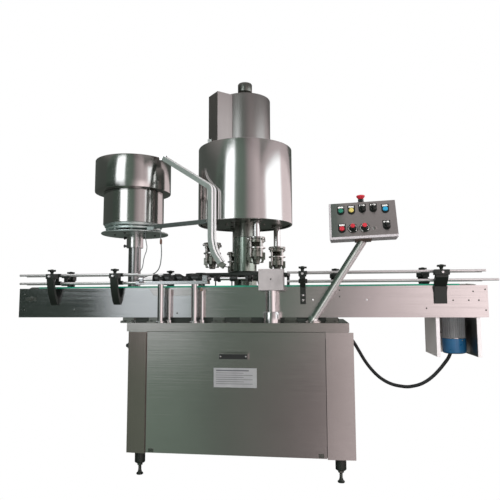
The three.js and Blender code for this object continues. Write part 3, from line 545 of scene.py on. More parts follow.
# ---- cabinet ----
def cabinet():
    dress("cabinet_shell", STEEL_DOOR, 0.8)
    dress("table_top", STEEL_TABLE, 1.2)
    dress("cabinet_door", STEEL_DOOR, 0.8)
    front = DOOR_LOW.y + 26
    for name, outer, inner, proud in (("left_post_front", BODY_LOW.x + 0.5, DOOR_LOW.x - 3, 8),
                                      ("right_post_front", BODY_HIGH.x - 0.5, DOOR_HIGH.x + 3, 5)):
        strip = Piece(name)
        back = front - 0.2
        outline = [(outer, back), (outer, front - 1), (inner, front - 1 - proud), (inner, back)]
        strip.prism(outline, BODY_LOW.z + 0.5, BODY_HIGH.z - 42)
        strip.done(STEEL_JAMB if name.startswith("left") else STEEL_DOOR, FRAME)
    plate = Piece("rating_plate").box((-116, front - 1.2, 439), (99, front - 0.2, 533))
    plate.done(RATING_FOIL, "door", slot="brushed_steel")
    rows = Piece("rating_plate_rules")
    for i in range(6):
        z = 508 - i * 10.5
        rows.box((-104, front - 1.6, z), (34 + 44 * (i % 2), front - 1.1, z + 2.2))
    rows.box((-104, front - 1.6, 518), (60, front - 1.1, 524))
    rows.done(LABEL_INK, "door")
    slots = Piece("door_handle_grip")
    handle_y = DOOR_LOW.y
    slots.prism([(-84, 579), (56, 579), (56, 603), (-84, 603)], handle_y - 0.9, handle_y + 0.6, "XZ")
    slots.done(RUBBER, "door", bevel=0.4)
    grip_screws = Piece("door_handle_screws")
    for x in (-77, 49):
        grip_screws.screw((x, handle_y - 0.8, 591), -Y_AXIS, 4, 1)
    grip_screws.done(STEEL_BRIGHT, "door")
    clips = Piece("door_clips")
    for x in (DOOR_LOW.x + 14, DOOR_HIGH.x - 40):
        clips.box((x, front - 3, DOOR_LOW.z + 4), (x + 26, front + 0.5, DOOR_LOW.z + 22))
        clips.screw((x + 13, front - 3, DOOR_LOW.z + 13), -Y_AXIS, 4, 2)
    clips.done(STEEL_DARK, "door", bevel=0.5)
    latch = Piece("side_latch")
    latch.box((BODY_LOW.x - 8, -78, 624), (BODY_LOW.x + 0.2, -56, 652))
    latch.rod((BODY_LOW.x - 18, -67, 638), (BODY_LOW.x - 6, -67, 638), 9)
    latch.done(BLACK, FRAME, bevel=0.6)
    collar = Piece("cable_gland_nut")
    collar.lathe([(0, -2), (15, -2), (15, 10), (12, 12), (0, 12)], (552, 300, 681), Vector((18, 0, -18)), 6)
    collar.done(BLACK, FRAME)
    dress_feet()


def dress_feet():
    """Levelling feet: rubber pad, threaded stud, lock nut and black bush."""
    bottom = BODY_LOW.z
    bush = [(0, 57.5), (22, 57.5), (26, 62), (26, bottom - 5), (24, bottom - 0.3), (0, bottom - 0.3)]
    for node in ("foot_front_left", "foot_front_right", "foot_rear_left", "foot_rear_right"):
        low, high = machine_box(node)
        centre = ((low.x + high.x) / 2, (low.y + high.y) / 2, 0)
        body = Piece(node + "_bush")
        body.lathe(bush, centre)
        body.lathe([(0, 0), (15.5, 0), (17, 1.5), (17, 6), (13, 9.5), (9.5, 15), (9, 20), (0, 20)], centre)
        body.done(BLACK, FRAME, replaces=(node,), slot="black_plastic")
        stud = Piece(node + "_stud")
        profile = [(0, 14)]
        for i in range(16):
            profile += [(7.2, 15 + i * 2.0), (8, 16 + i * 2.0)]
        stud.lathe(profile + [(7.2, 47), (7.2, 60), (0, 60)], centre, sides=24)
        stud.lathe([(0, 46), (14, 46), (14, 55), (12.5, 57), (0, 57)], centre, sides=6)
        stud.done(STEEL_DARK, FRAME)


# ---- conveyor ----
def conveyor():
    dress("conveyor_plate_front", STEEL_PLATE, 0.6)
    dress("conveyor_plate_rear", STEEL_PLATE, 0.6)
    dress("wear_bed", GREEN)
    # The motor guard's near-white steel is painted light.
    dress("motor_guard", STEEL_GUARD, 0.5)
    # Thin near-white strips on the guard's front edges: painted highlights along its flanges.
    flanges = Piece("motor_guard_flanges")
    for x in (973, 1164):
        flanges.box((x, 5.2, 588.5), (x + 17, 5.9, PLATE_BOTTOM - 1))
    flanges.done(STEEL_FLANGE, FRAME)
    # A dark sheet on the guard's inner face: painted shade inside the guard.
    lining = Piece("motor_guard_shade_sheet").box((1162.6, 8, 590), (1163.9, 297, PLATE_BOTTOM - 5))
    lining.done(STEEL_DARK, FRAME)
    splice = Piece("splice_plate")
    outline = [(-HALF_LENGTH, PLATE_BOTTOM), (-248, PLATE_BOTTOM), (-248, 892), (-455, 892),
               (-487, PLATE_TOP - 1), (-HALF_LENGTH, PLATE_TOP - 1)]
    splice.prism(outline, -1.6, -0.1, "XZ")
    splice.done(STEEL_SPLICE, FRAME, bevel=0.3)
    fittings = Piece("conveyor_screws")
    for x, z in ((-1190, 902), (-1190, 820), (-900, 820), (-330, 801), (510, 915), (510, 883), (930, 823),
                 (1057, 862), (1130, 862), (1152, 905), (1177, 862), (1208, 914), (1208, 814)):
        fittings.screw((x, 0.1 if x > -248 else -1.5, z), -Y_AXIS, 4.2, 1.8)
    fittings.done(STEEL_DARK, FRAME)
    # Two screw heads in near-white steel: painted glints.
    bright = Piece("conveyor_bright_screws")
    for x in (377, 644):
        bright.screw((x, 0.1, 867), -Y_AXIS, 5, 2)
    bright.done(STEEL_FLANGE, FRAME)
    slat_chain()
    shafts()
    table_mounts()


def racetrack(distance, r):
    """Place and direction at a distance along the chain's loop, from the top left."""
    run = 2 * SHAFT_X
    turn = pi * r
    distance %= 2 * (run + turn)
    if distance < run:
        return Vector((-SHAFT_X + distance, 0, SHAFT_Z + r)), 0.0
    distance -= run
    if distance < turn:
        a = distance / r
        return Vector((SHAFT_X + r * sin(a), 0, SHAFT_Z + r * cos(a))), a
    distance -= turn
    if distance < run:
        return Vector((SHAFT_X - distance, 0, SHAFT_Z - r)), pi
    a = (distance - run) / r
    return Vector((-SHAFT_X - r * sin(a), 0, SHAFT_Z - r * cos(a))), pi + a


def slat_chain():
    """The slats one by one round the whole loop, each with its hinge knuckle underneath."""
    r = LOOP_R - 2
    loop = 2 * (2 * SHAFT_X + pi * r)
    count = round(loop / 38.1)
    slats = Piece("slat_chain_slats")
    knuckles = Piece("slat_chain_knuckles")
    for i in range(count):
        at, angle = racetrack(i * loop / count, r)
        turn = Matrix.Rotation(angle, 3, "Y")
        middle = Vector((at.x, (CHAIN_LOW.y + CHAIN_HIGH.y) / 2, at.z))
        slats.box(middle - Vector((18.3, 41.2, 2)), middle + Vector((18.3, 41.2, 2)), turn)
        under = middle - turn @ Vector((0, 0, 4))
        knuckles.box(under - Vector((19.4, 20, 2.4)), under + Vector((19.4, 20, 2.4)), turn)
    slats.done(STEEL_SLAT, FRAME, replaces=("slat_chain",), bevel=0.6, slot="machined_steel")
    knuckles.done(STEEL_DARK, FRAME)


def shafts():
    """Drive and idler shafts with toothed sprockets, and their bearing plates outside the side plates."""
    for node, x, body, depth in (("drive_shaft", SHAFT_X, "drive_roller", 150),
                                 ("idler_shaft", -SHAFT_X, "idler_roller", 106)):
        piece = Piece(node + "_with_sprockets")
        piece.rod((x, 4, SHAFT_Z), (x, depth, SHAFT_Z), 12.5, sides=32)
        for y in (24, 62):
            piece.prism(toothed((x, SHAFT_Z), 18, (0.32, 50), (0.15, 54.3)), y, y + 24, "XZ")
        piece.done(STEEL_DARK, body, replaces=(node,), bevel=0.4, slot="machined_steel")
    bearing = Piece("drive_bearing_cover")
    bearing.lathe([(0, 0), (18, 0), (18, 0.6), (0, 0.6)], (1197, 0.1, 875), -Y_AXIS)
    bearing.done(STEEL_PLATE, FRAME, sharp=10)
    take_up = Piece("idler_take_up_bolt")
    take_up.hexagon((-1150, -1.6, SHAFT_Z), -Y_AXIS, 11, 7, washer=14)
    take_up.box((-1182, -3.2, SHAFT_Z - 10), (-1122, -1.6, SHAFT_Z + 10))
    take_up.done(STEEL_DARK, FRAME, bevel=0.5)


def table_mounts():
    """Clamps, slotted brackets and bolts that hold the conveyor down in the gap over the table."""
    clamps = Piece("conveyor_hold_downs")
    for x in (-598, -455, -110, 30, 262, 470):
        clamps.box((x - 34, -22, SEAT), (x + 34, 8, TABLE_TOP + 5))
        clamps.box((x - 30, 4, TABLE_TOP + 4), (x + 30, 7.4, PLATE_BOTTOM - 0.4))
        for dx in (-20, 20):
            clamps.hexagon((x + dx, -10, TABLE_TOP + 5), Z_AXIS, 7, 6, washer=9)
    clamps.done(STEEL_DARK, FRAME, bevel=0.6)
    # Near-black block in the gap under the conveyor: it stands for the hardware there, and its near-black is
    # painted shade.
    channel = Piece("conveyor_base_channel")
    channel.box((-560, 7.5, TABLE_TOP + 0.4), (440, 96, PLATE_BOTTOM - 0.4))
    for i in range(5):
        channel.rod((452 + i * 12, 60, TABLE_TOP + 14), (452 + i * 12, 90, TABLE_TOP + 14), 7, sides=12)
    channel.done(SHADOW_GREY, FRAME, bevel=1.0)


# ---- guide rails ----
RAIL_R = 6
RAIL_Z = (1008, 963)


def rail_section(name, node, side, upper, lower, brackets, style):
    """Two rods, their ends rounded, and the brackets that carry them."""
    y = 14 if side == 1 else LANE_W - 14
    rods = Piece(name + "_rods")
    for (x0, x1), z in ((upper, RAIL_Z[0]), (lower, RAIL_Z[1])):
        rods.rod((x0, y, z), (x1, y, z), RAIL_R, sides=20, chamfer=1.5)
    for x in brackets:
        out = -1 if side == 1 else 1
        base = 0 if side == 1 else LANE_W
        rods.rod((x, base + out * 84, 996), (x, base - out * 10, 996), 6, sides=16, chamfer=1.2)
    rods.done(STEEL_RAIL, FRAME, replaces=(node,), slot="rail_steel")
    for i, x in enumerate(brackets):
        rail_bracket(f"{name}_bracket_{i + 1}", x, side, style[i])


def rail_bracket(name, x, side, style):
    """Moulded bracket: foot on the side plate, arm, clamp head and its star knob."""
    out = -1 if side == 1 else 1
    base = -1.8 if side == 1 else LANE_W
    half = {"narrow": 14, "wide": 30 if side == 1 else 24, "curved": 19}[style]
    arm = Piece(name)
    if style == "curved":
        outer = [(8, 846), (26, 866), (44, 900), (58, 940), (66, 975), (68, 1008)]
        inner = [(40, 1008), (44, 975), (40, 945), (28, 912), (14, 890), (1, 880)]
    else:
        outer = [(10, 846), (14, 930), (60, 972), (64, 1008)]
        inner = [(36, 1008), (36, 985), (6, 960), (1, 930)]
    outline = [(1, 846)] + outer + inner
    arm.prism([(base + out * d, z) for d, z in outline], x - half, x + half, "YZ")
    head_y = sorted((base + out * 24, base + out * 68))
    arm.box((x - half - 5, head_y[0], 984), (x + half + 5, head_y[1], 1010))
    clamp_y = sorted((base - out * 4, base - out * 22))
    arm.box((x - 22, clamp_y[0], RAIL_Z[1] - 11), (x + 22, clamp_y[1], RAIL_Z[1] + 11))
    arm.box((x - 22, clamp_y[0], RAIL_Z[0] - 12), (x + 22, clamp_y[1], RAIL_Z[0] + 7))
    arm.box((x - 9, clamp_y[0] + 3, RAIL_Z[1]), (x + 9, clamp_y[1] - 3, RAIL_Z[0]))
    if style == "wide" and side == 1:
        arm.prism([(x - 23, 851), (x + 23, 851), (x + 35, 930), (x - 35, 930)], -12, -1.8, "XZ")
    arm.done(BLACK, FRAME, bevel=1.6, slot="black_plastic")
    knob = Piece(name + "_knob")
    ky = base + out * 46
    lobes = [(x + (19 + 3 * cos(5 * a)) * cos(a), ky + (19 + 3 * cos(5 * a)) * sin(a)) for a in around(40)]
    knob.prism(lobes, 1024, 1033)
    knob.lathe([(0, 1008), (8, 1008), (8, 1018), (13, 1025), (0, 1025)], (x, ky, 0))
    knob.lathe([(0, 1032), (10, 1032), (8, 1035), (0, 1036)], (x, ky, 0))
    knob.done(BLACK, FRAME, bevel=1.0)
    screws = Piece(name + "_screws")
    face = base + out * 10.2
    screws.screw((x, base + out * 68 if style == "curved" else face, 996), (0, out, 0), 6, 3)
    if style == "narrow":
        screws.box((x - 3, min(face, face + out), 858), (x + 3, max(face, face + out), 900))
        screws.screw((x, face + out, 866), (0, out, 0), 6, 3)
        screws.screw((x, face + out, 890), (0, out, 0), 6, 3)
    screws.done(STEEL_BRIGHT, FRAME)


def guide_rails():
    rail_section("front_left_rails", "guide_rail_front_left", 1, (-1232, -552), (-1230, -552), (-1010, -657),
                 ("curved", "curved"))
    rail_section("rear_left_rails", "guide_rail_rear_left", -1, (-1238, -345), (-1236, -345), (-1004, -415),
                 ("curved", "curved"))
    rail_section("front_right_rails", "guide_rail_front_right", 1, (245, 1221), (245, 1280), (327, 997),
                 ("narrow", "wide"))
    rail_section("rear_right_rails", "guide_rail_rear_right", -1, (300, 1224), (300, 1224), (494, 946),
                 ("wide", "wide"))


# ---- conveyor motor ----
def conveyor_motor():
    x, y = 1091, 165
    body = Piece("motor_fins")
    body.lathe([(0, 668), (46, 668), (46, 780), (50, 790), (50, 818), (0, 818)], (x, y, 0))
    for angle in around(28):
        turn = Matrix.Rotation(angle, 3, "Z")
        middle = Vector((x, y, 728)) + turn @ Vector((46, 0, 0))
        body.box(middle - Vector((10, 1.3, 58)), middle + Vector((10, 1.3, 58)), turn)
    body.box((x - 45, LANE_W + 4, SHAFT_Z - 62), (SHAFT_X + 48, LANE_W + 90, SHAFT_Z + 62))
    for dx in (-30, 30):
        for dz in (-46, 46):
            body.hexagon((SHAFT_X + dx, LANE_W + 90, SHAFT_Z + dz), Y_AXIS, 8, 5)
    body.box((x - 44, y + 48, 692), (x + 44, y + 100, 768))
    body.done(CAST_MOTOR, FRAME, replaces=("conveyor_motor",), bevel=0.8, slot="cast_alloy")
    lid = Piece("motor_terminal_box")
    lid.box((x - 45, y + 98, 690), (x + 45, y + 105, 770))
    for dx in (-38, 38):
        for z in (697, 763):
            lid.screw((x + dx, y + 105, z), Y_AXIS, 4, 2.5)
    gland = [(0, 668), (10, 668), (12, 672), (12, 682), (15, 682), (15, 693), (0, 693)]
    lid.lathe(gland, (x + 5, y + 82, 0), sides=12)
    lid.done(BLACK, FRAME, bevel=1.2)
    cover = Piece("motor_fan_cover")
    cover.lathe([(0, 592), (38, 592), (44, 592.5), (52, 594.5), (57, 599), (59, 606), (59.5, 666),
                 (59.5, 669), (57, 669), (57, 620), (0, 620)], (x, y, 0), sides=72)
    cover.done(FAN_BLUE, FRAME, slot="cast_alloy")
    trim = Piece("motor_cover_screws")
    for angle in around(3, -60):
        at = polar((x, y), 59, angle, 660)
        trim.screw(at, (cos(angle), sin(angle), 0), 4, 2)
    trim.ring(51, 52.5, 664, 672, (x, y, 0))
    trim.done(STEEL_BRIGHT, FRAME)


# ---- turret ----
def turret():
    tx, ty = TURRET.x, TURRET.y
    sleeve = Piece("turret_sleeve_tube")
    top = machine_box("turret_sleeve")[1].z
    wall_section = [(62.5, 640), (66, 640), (66, top - 2), (64.5, top), (62.5, top), (62.5, 640)]
    sleeve.lathe(wall_section, TURRET_AXIS, sides=96)
    sleeve.ring(50, 66, 640, 700, TURRET_AXIS)
    sleeve.done(STEEL_COLUMN, "turret", replaces=("turret_sleeve",), slot="brushed_steel")
    gear = Piece("turret_wheel")
    gear.prism(toothed(TURRET, 50, (0.3, 193.5), (0.12, 204.5)), 690, 710)
    gear.done(STEEL_DARK, "turret")
    column = Piece("turret_column_post")
    column.lathe([(0, 116), (45, 116), (45, 1846), (42, 1850), (0, 1850)], TURRET_AXIS, sides=64)
    column.box((tx - 130, ty - 130, 115.6), (tx + 130, ty + 130, 140))
    for dx in (-110, 110):
        for dy in (-110, 110):
            column.hexagon((tx + dx, ty + dy, 140), Z_AXIS, 12, 9)
    column.done(STEEL_POST, FRAME, replaces=("turret_column",), bevel=0.6, slot="brushed_steel")
    cam = Piece("cam_drum_body")
    cam_section = [(47, 1510), (150, 1510), (150, 1550), (60, 1550), (60, 1755), (47, 1755), (47, 1510)]
    cam.lathe(cam_section, TURRET_AXIS)
    cam.done(STEEL_DARK, "head_unit", replaces=("cam_drum",), slot="machined_steel")
    drum()
    housing()
    carrier()
    star_wheels()


def drum():
    """The drum cover: a rolled sheet with a folded lower lip and a rounded lid edge, and a dull, darker sheet
    inside it that is painted shade.
    """
    z0, z1, r = DRUM_LOW.z, DRUM_HIGH.z, DRUM_R
    shell = Piece("drum_cover_shell")
    shell.lathe([(r - 14, z0 + 2), (r - 14, z0), (r - 2, z0), (r, z0 + 2), (r, z1 - 3), (r - 1, z1 - 0.6),
                 (r - 3, z1), (50, z1), (50, z1 - 3), (r - 3, z1 - 3), (r - 3, z0 + 2), (r - 14, z0 + 2)],
                TURRET_AXIS, sides=160)
    shell.done(STEEL_DRUM, "head_unit", replaces=("drum_cover",), slot="brushed_steel")
    # Darker steel just inside the shell: painted shade on the drum's inside.
    inside = Piece("drum_cover_shade_sheet")
    outer, inner = r - 3.2, r - 5
    inside.lathe([(outer, z0 + 3), (outer, z1 - 3.2), (inner, z1 - 3.2), (inner, z0 + 3), (outer, z0 + 3)],
                 TURRET_AXIS, sides=96)
    inside.done(STEEL_SHADE, "head_unit")


SIDE_COVER = {"x": -145.7, "y": 222.4, "w": 100, "d": 105, "turn": 41, "top": 2060}


def housing():
    """Round housing with its top knob, and the square cover beside it."""
    base, top = DRUM_HIGH.z + 0.3, 2068
    tube = Piece("top_housing_tube")
    tube.lathe([(148, base), (151.5, base), (151.5, top - 5), (150, top - 1.5), (146, top), (0, top),
                (0, top - 3), (148, top - 3), (148, base)], TURRET_AXIS, sides=128)
    tube.done(STEEL_HOUSING, "head_unit", replaces=("top_housing",), slot="brushed_steel")
    knob = Piece("top_housing_knob")
    high = HOUSING_HIGH.z
    knob.lathe([(0, top), (36, top), (36, top + 8), (28, top + 12), (28, top + 50), (42, top + 58),
                (43, top + 61), (43, high - 7), (40, high - 2), (34, high), (0, high)], TURRET_AXIS, sides=64)
    knob.done(STEEL_DARK, "head_unit")
    cover = Piece("side_cover")
    turn = Matrix.Rotation(radians(SIDE_COVER["turn"]), 3, "Z")
    low = Vector((-SIDE_COVER["w"] / 2, -SIDE_COVER["d"] / 2, base))
    cover_top = Vector((SIDE_COVER["w"] / 2, SIDE_COVER["d"] / 2, SIDE_COVER["top"]))
    spot = Vector((SIDE_COVER["x"], SIDE_COVER["y"], 0))
    cover.box(spot + low, spot + cover_top, turn)
    cover.done(STEEL_SHADE_PLATE, "head_unit", bevel=1.5)
    bracket = Piece("side_cover_catch")
    bracket.box((-214, 186, 1764), (-190, 200, 1790))
    bracket.rod((-202, 180, 1777), (-202, 190, 1777), 7)
    bracket.done(STEEL_BRIGHT, "head_unit", bevel=0.6)


def carrier():
    z = 1316
    disc = Piece("head_carrier_disc")
    disc.lathe([(48, 1176), (61, 1176), (61, z), (260, z), (262, z + 2), (262, z + 16), (260, z + 18),
                (70, z + 18), (61, z + 40), (48, z + 40), (48, 1176)], TURRET_AXIS, sides=96)
    disc.done(STEEL_CARRIER, "carrier", replaces=("head_carrier",), slot="machined_steel")
    bolts = Piece("head_carrier_bolts")
    for angle in around(8, 11):
        bolts.hexagon(polar(TURRET, 110, angle, z), -Z_AXIS, 9, 6)
    for i in range(4):
        spot = head_spot(i)
        bolts.ring(21, 34, z - 12, z - 0.2, (spot.x, spot.y, 0), sides=40)
        for angle in around(4, 20):
            bolts.hexagon(polar(spot, 29, angle, z - 12), -Z_AXIS, 4, 3)
    bolts.done(STEEL_DARK, "carrier")
    for i in range(4):
        spindle(i)
        capping_head(i)


def head_spot(i):
    """Head i's axis and the top of its flange at rest."""
    low, high = machine_box(f"capping_head_{i + 1}")
    return Vector(((low.x + high.x) / 2, (low.y + high.y) / 2, high.z))


def spindle(i):
    spot = head_spot(i)
    piece = Piece(f"spindle_{i + 1}_sleeve")
    low, high = spot.z + 0.3, spot.z + 290
    piece.lathe([(0, low), (20, low), (20, high - 6), (17, high), (0, high)], (spot.x, spot.y, 0))
    inward = Vector((TURRET.x - spot.x, TURRET.y - spot.y, 0)).normalized()
    start = Vector((spot.x, spot.y, spot.z + 272))
    piece.rod(start, start + inward * 32, 9)
    piece.done(STEEL_BRIGHT, f"spindle_unit_{i + 1}", replaces=(f"spindle_{i + 1}",), slot="brushed_steel")


def capping_head(i):
    """Flange with dome nuts, four tie rods, mid ring, spring body, lower block and roller arms."""
    spot = head_spot(i)
    at = (spot.x, spot.y, spot.z)
    body = f"head_{i + 1}"
    bright = Piece(body + "_frame")
    bright.lathe([(0, -9), (48, -9), (50, -7), (50, -2), (48, 0), (0, 0)], at, sides=56)
    bright.lathe([(30, -64), (50, -64), (50, -57), (30, -57), (30, -64)], at, sides=56)
    for angle in around(4, 45):
        foot = polar(spot, 41, angle, spot.z - 112)
        bright.rod(foot, foot + Vector((0, 0, 104)), 6.5, sides=16)
        tip = polar(spot, 63, angle, spot.z - 14)
        bright.rod(polar(spot, 44, angle, spot.z - 14), tip, 4.5, sides=12)
        bright.lathe([(0, 0), (8, 0), (8, 4), (4, 8), (0, 9)], tip - Vector((cos(angle), sin(angle), 0)) * 7,
                     (cos(angle), sin(angle), 0), 14)
    bright.done(STEEL_HEAD, body, replaces=(f"capping_head_{i + 1}",), slot="machined_steel")
    dark = Piece(body + "_body")
    dark.lathe([(0, -30), (44, -30), (44, -20), (38, -20), (38, -10), (0, -10)], at, sides=40)
    profile = [(0, -58)]
    for turn in range(6):
        profile += [(24, -57 + turn * 4.6), (29, -54.7 + turn * 4.6)]
    dark.lathe(profile + [(24, -29), (0, -29)], at, sides=32)
    dark.lathe([(0, -112), (36, -112), (38, -109), (38, -82), (32, -78), (32, -63), (0, -63)], at, sides=40)
    dark.lathe([(0, -150), (15, -150), (18, -147), (20, -128), (28, -112), (0, -112)], at, sides=32)
    for angle in around(4, 0):
        turn = Matrix.Rotation(angle, 3, "Z")
        middle = Vector(at) + turn @ Vector((38, 0, -106))
        dark.box(middle - Vector((11, 6, 20)), middle + Vector((11, 6, 20)), turn)
        low = Vector(at) + turn @ Vector((36, 0, -128))
        lean = turn @ Matrix.Rotation(radians(22), 3, "Y")
        dark.box(low - Vector((6, 5, 14)), low + Vector((6, 5, 14)), lean)
        pin = Vector(at) + turn @ Vector((41, 0, -120))
        dark.rod(pin - turn @ Vector((0, 10, 0)), pin + turn @ Vector((0, 10, 0)), 4, sides=12)
    dark.done(STEEL_OILY, body, bevel=0.5)
    rollers = Piece(body + "_rollers")
    for angle in around(4, 0):
        at_roller = polar(spot, 30, angle, spot.z - 143)
        rollers.lathe([(0, 0), (8, 0), (10, 2.5), (8, 5), (0, 5)], at_roller, Z_AXIS, 24)
    rollers.done(STEEL_BRIGHT, body)


def star_outline(centre, pitch_r, outer_r, pockets, first):
    """Outline of a star wheel: arcs of the rim between round pockets of bottle radius 36."""
    bottle = 36
    outline = []
    beyond = (outer_r ** 2 - pitch_r ** 2 - bottle ** 2) / (2 * pitch_r)
    reach = asin(min(1.0, sqrt(max(0.0, bottle ** 2 - beyond ** 2)) / outer_r))
    for i in range(pockets):
        a = radians(first + i * 360 / pockets)
        c = Vector((centre[0] + pitch_r * cos(a), centre[1] + pitch_r * sin(a)))
        entry = Vector((centre[0] + outer_r * cos(a - reach), centre[1] + outer_r * sin(a - reach))) - c
        leave = Vector((centre[0] + outer_r * cos(a + reach), centre[1] + outer_r * sin(a + reach))) - c
        start = degrees(atan2(entry.y, entry.x))
        end = degrees(atan2(leave.y, leave.x))
        if end > start:
            end -= 360
        outline += arc(c.x, c.y, bottle, start, end, 16)
        begin = degrees(a + reach)
        finish = degrees(a - reach) + 360 / pockets
        outline += arc(centre[0], centre[1], outer_r, begin, finish, 16)[1:-1]
    return outline


def star_wheels():
    z = STAR.z
    main = Piece("main_star_wheel")
    main.prism(star_outline(TURRET, HEAD_R, 188, 4, 26), z, z + 14)
    main.lathe([(67, z - 18), (92, z - 18), (92, z + 34), (90, z + 36), (67, z + 36), (67, z - 18)],
               TURRET_AXIS, sides=64)
    main.done(BLACK, "turret", replaces=("main_star",), bevel=0.8, slot="black_plastic")
    bolts = Piece("main_star_bolts")
    for angle in around(4, 71):
        bolts.hexagon(polar(TURRET, 140, angle, z + 14), Z_AXIS, 8, 6, washer=11)
    bolts.done(STEEL_BRIGHT, "turret")
    infeed = Piece("infeed_star_wheel_disc")
    infeed.prism(star_outline(STAR, 100, 82, 2, -90), z, z + 14)
    infeed.lathe([(0, z - 30), (30, z - 30), (30, z + 17), (27, z + 20), (0, z + 20)], (STAR.x, STAR.y, 0))
    infeed.done(BLACK, "infeed_star_wheel", replaces=("infeed_star",), bevel=0.8, slot="black_plastic")
    shaft = Piece("infeed_star_shaft")
    shaft.rod((STAR.x, STAR.y, 600.4), (STAR.x, STAR.y, z - 28), 14)
    shaft.prism(toothed(STAR, 25, (0.3, 93.5), (0.12, 104.5), 0.5), 690, 710)
    shaft.done(STEEL_DARK, "infeed_star_wheel")
    dress("bottle_guide", BLACK, 1.0)
    front_guide()
    dress("main_motor", CAST_GREY, 1.0)


def front_guide():
    """Fixed plate between the lane and the main star, on three short legs, with its bridge to the worm."""
    edge = [(-215, 104), (-190, 118), (-21, 119), (60, 110), (110, 88)]
    outline = edge + [(106, 74), (56, 94), (-21, 102), (-188, 100), (-215, 88)]
    plate = Piece("front_guide_plate")
    plate.prism(outline, 1002, 1016)
    for x in (-150, -60, 30):
        plate.rod((x, 116, 942), (x, 116, 1003), 3.5, sides=16)
    plate.done(BLACK, FRAME, bevel=1.0)


# ---- timing worm and its drive ----
WORM = Vector((0, 5, 980))


def timing_worm():
    low, high = machine_box("timing_worm")
    x0, x1 = low.x + 80, high.x - 46
    core_r, crest = 15, 26
    steps, sides = 150, 32
    piece = Piece("timing_worm_thread")
    rings = []
    for i in range(steps + 1):
        share = i / steps
        x = x0 + (x1 - x0) * share
        phase = 2 * pi * (5.2 * share - 1.4 * share * share)
        ring = []
        for k in range(sides):
            a = 2 * pi * k / sides
            wave = 0.5 + 0.5 * cos(a - phase)
            r = core_r + (crest - core_r) * min(1.0, 1.6 * wave)
            ring.append(Vector((x, WORM.y + r * cos(a), WORM.z + r * sin(a))))
        rings.append(piece.corners(ring))
    piece.hull_faces(rings)
    piece.done(BLACK_GLOSS, "worm", replaces=("timing_worm",), slot="black_plastic", sharp=60)
    shaft = Piece("timing_worm_shaft")
    shaft.rod((low.x + 1, WORM.y, WORM.z), (high.x - 1, WORM.y, WORM.z), 8)
    shaft.rod((x1 - 1, WORM.y, WORM.z), (x1 + 12, WORM.y, WORM.z), 15)
    shaft.done(STEEL_BRIGHT, "worm")


def worm_rest():
    y = -58
    rail = Piece("worm_rest_bar")
    rail.box((-482, y - 9, 950), (-155, y + 9, 966))
    rail.box((-538, y - 6, 950), (-480, y + 6, 957))
    for a, b in ((-538, -518), (-184, -160)):
        rail.ring(9.5, 17, a, b, (0, WORM.y, WORM.z), X_AXIS, 40)
        rail.box((a, y - 4, 952), (b, WORM.y + 16, 966))
    rail.box((-184, y + 4, 964), (-160, WORM.y - 16, 994))
    rail.done(STEEL_BRIGHT_BAR, FRAME, replaces=("worm_rest",), bevel=0.8, slot="brushed_steel")
    posts = Piece("worm_rest_posts")
    for x in (-403, -225):
        posts.lathe([(0, SEAT), (24, SEAT), (24, 760), (15, 762), (15, 950), (0, 950)], (x, y, 0), sides=48)
        posts.screw((x, y, 966), Z_AXIS, 9, 6)
    for x in (-367, -193):
        posts.lathe([(0, SEAT), (17, SEAT), (17, 766), (10, 768), (10, 926), (0, 926)], (x, -20, 0), sides=40)
    posts.done(STEEL_POST, FRAME)
    nuts = Piece("worm_rest_nuts")
    nuts.hexagon((-193, -31, 921), -Y_AXIS, 9, 8)
    nuts.hexagon((-157, y, 958), X_AXIS, 7, 6)
    nuts.done(COPPER_NUT, FRAME)


def cardan_shaft():
    """Two universal joints with their forks, and the telescopic tube between them."""
    a, b = Vector((-132, 5, 980)), Vector((72, -38, 978))
    along = (b - a).normalized()
    length = (b - a).length
    tube = Piece("cardan_shaft_tube")
    tube.rod(a + along * 26, a + along * length * 0.55, 10)
    tube.rod(a + along * length * 0.5, b - along * 26, 7)
    tube.done(STEEL_BRIGHT, "cardan", replaces=("cardan_shaft",), slot="brushed_steel")
    joints = Piece("cardan_shaft_joints")
    turn = X_AXIS.rotation_difference(along).to_matrix()
    for start in (a, b - along * 34):
        for shift in (0, 18):
            spin = turn @ Matrix.Rotation(radians(45 if shift else 0), 3, "X")
            middle = start + along * (8 + shift)
            joints.box(middle - Vector((8, 13, 13)), middle + Vector((8, 13, 13)), spin)
    joints.rod(a + along * length * 0.42, a + along * length * 0.62, 13, sides=12)
    joints.done(BLACK_GLOSS, "cardan", bevel=2.0)


def gearbox():
    x, y = 171, -47
    cube = Piece("gearbox_cube")
    cube.box((109, -91, 914), (234, -3.5, 1021))
    cube.done(CUBE_GREY, FRAME, replaces=("gearbox_post",), bevel=2.5, slot="brushed_steel")
    mark = Piece("gearbox_level_screw")
    mark.screw((x, -91, 970), -Y_AXIS, 4, 1.6)
    mark.done(STEEL_DARK, FRAME)
    post = Piece("gearbox_post_tube")
    tube_profile = [(0, SEAT), (43, SEAT), (43, 803), (40, 808), (31, 809), (31, 914), (0, 914)]
    post.lathe(tube_profile, (x, y, 0), sides=72)
    post.done(STEEL_POST, FRAME)
    flange = Piece("gearbox_flange")
    flange.rod((102, -38, 978), (110, -38, 978), 34, sides=48)
    flange.rod((75, -38, 978), (103, -38, 978), 10)
    flange.rod((233, -60, 995), (248, -60, 995), 9)
    flange.hexagon((248, -60, 995), X_AXIS, 7, 5)
    for dy in (-24, 24):
        flange.hexagon((102, -38 + dy, 978), -X_AXIS, 5, 4)
    flange.done(BLACK, FRAME, bevel=0.6)


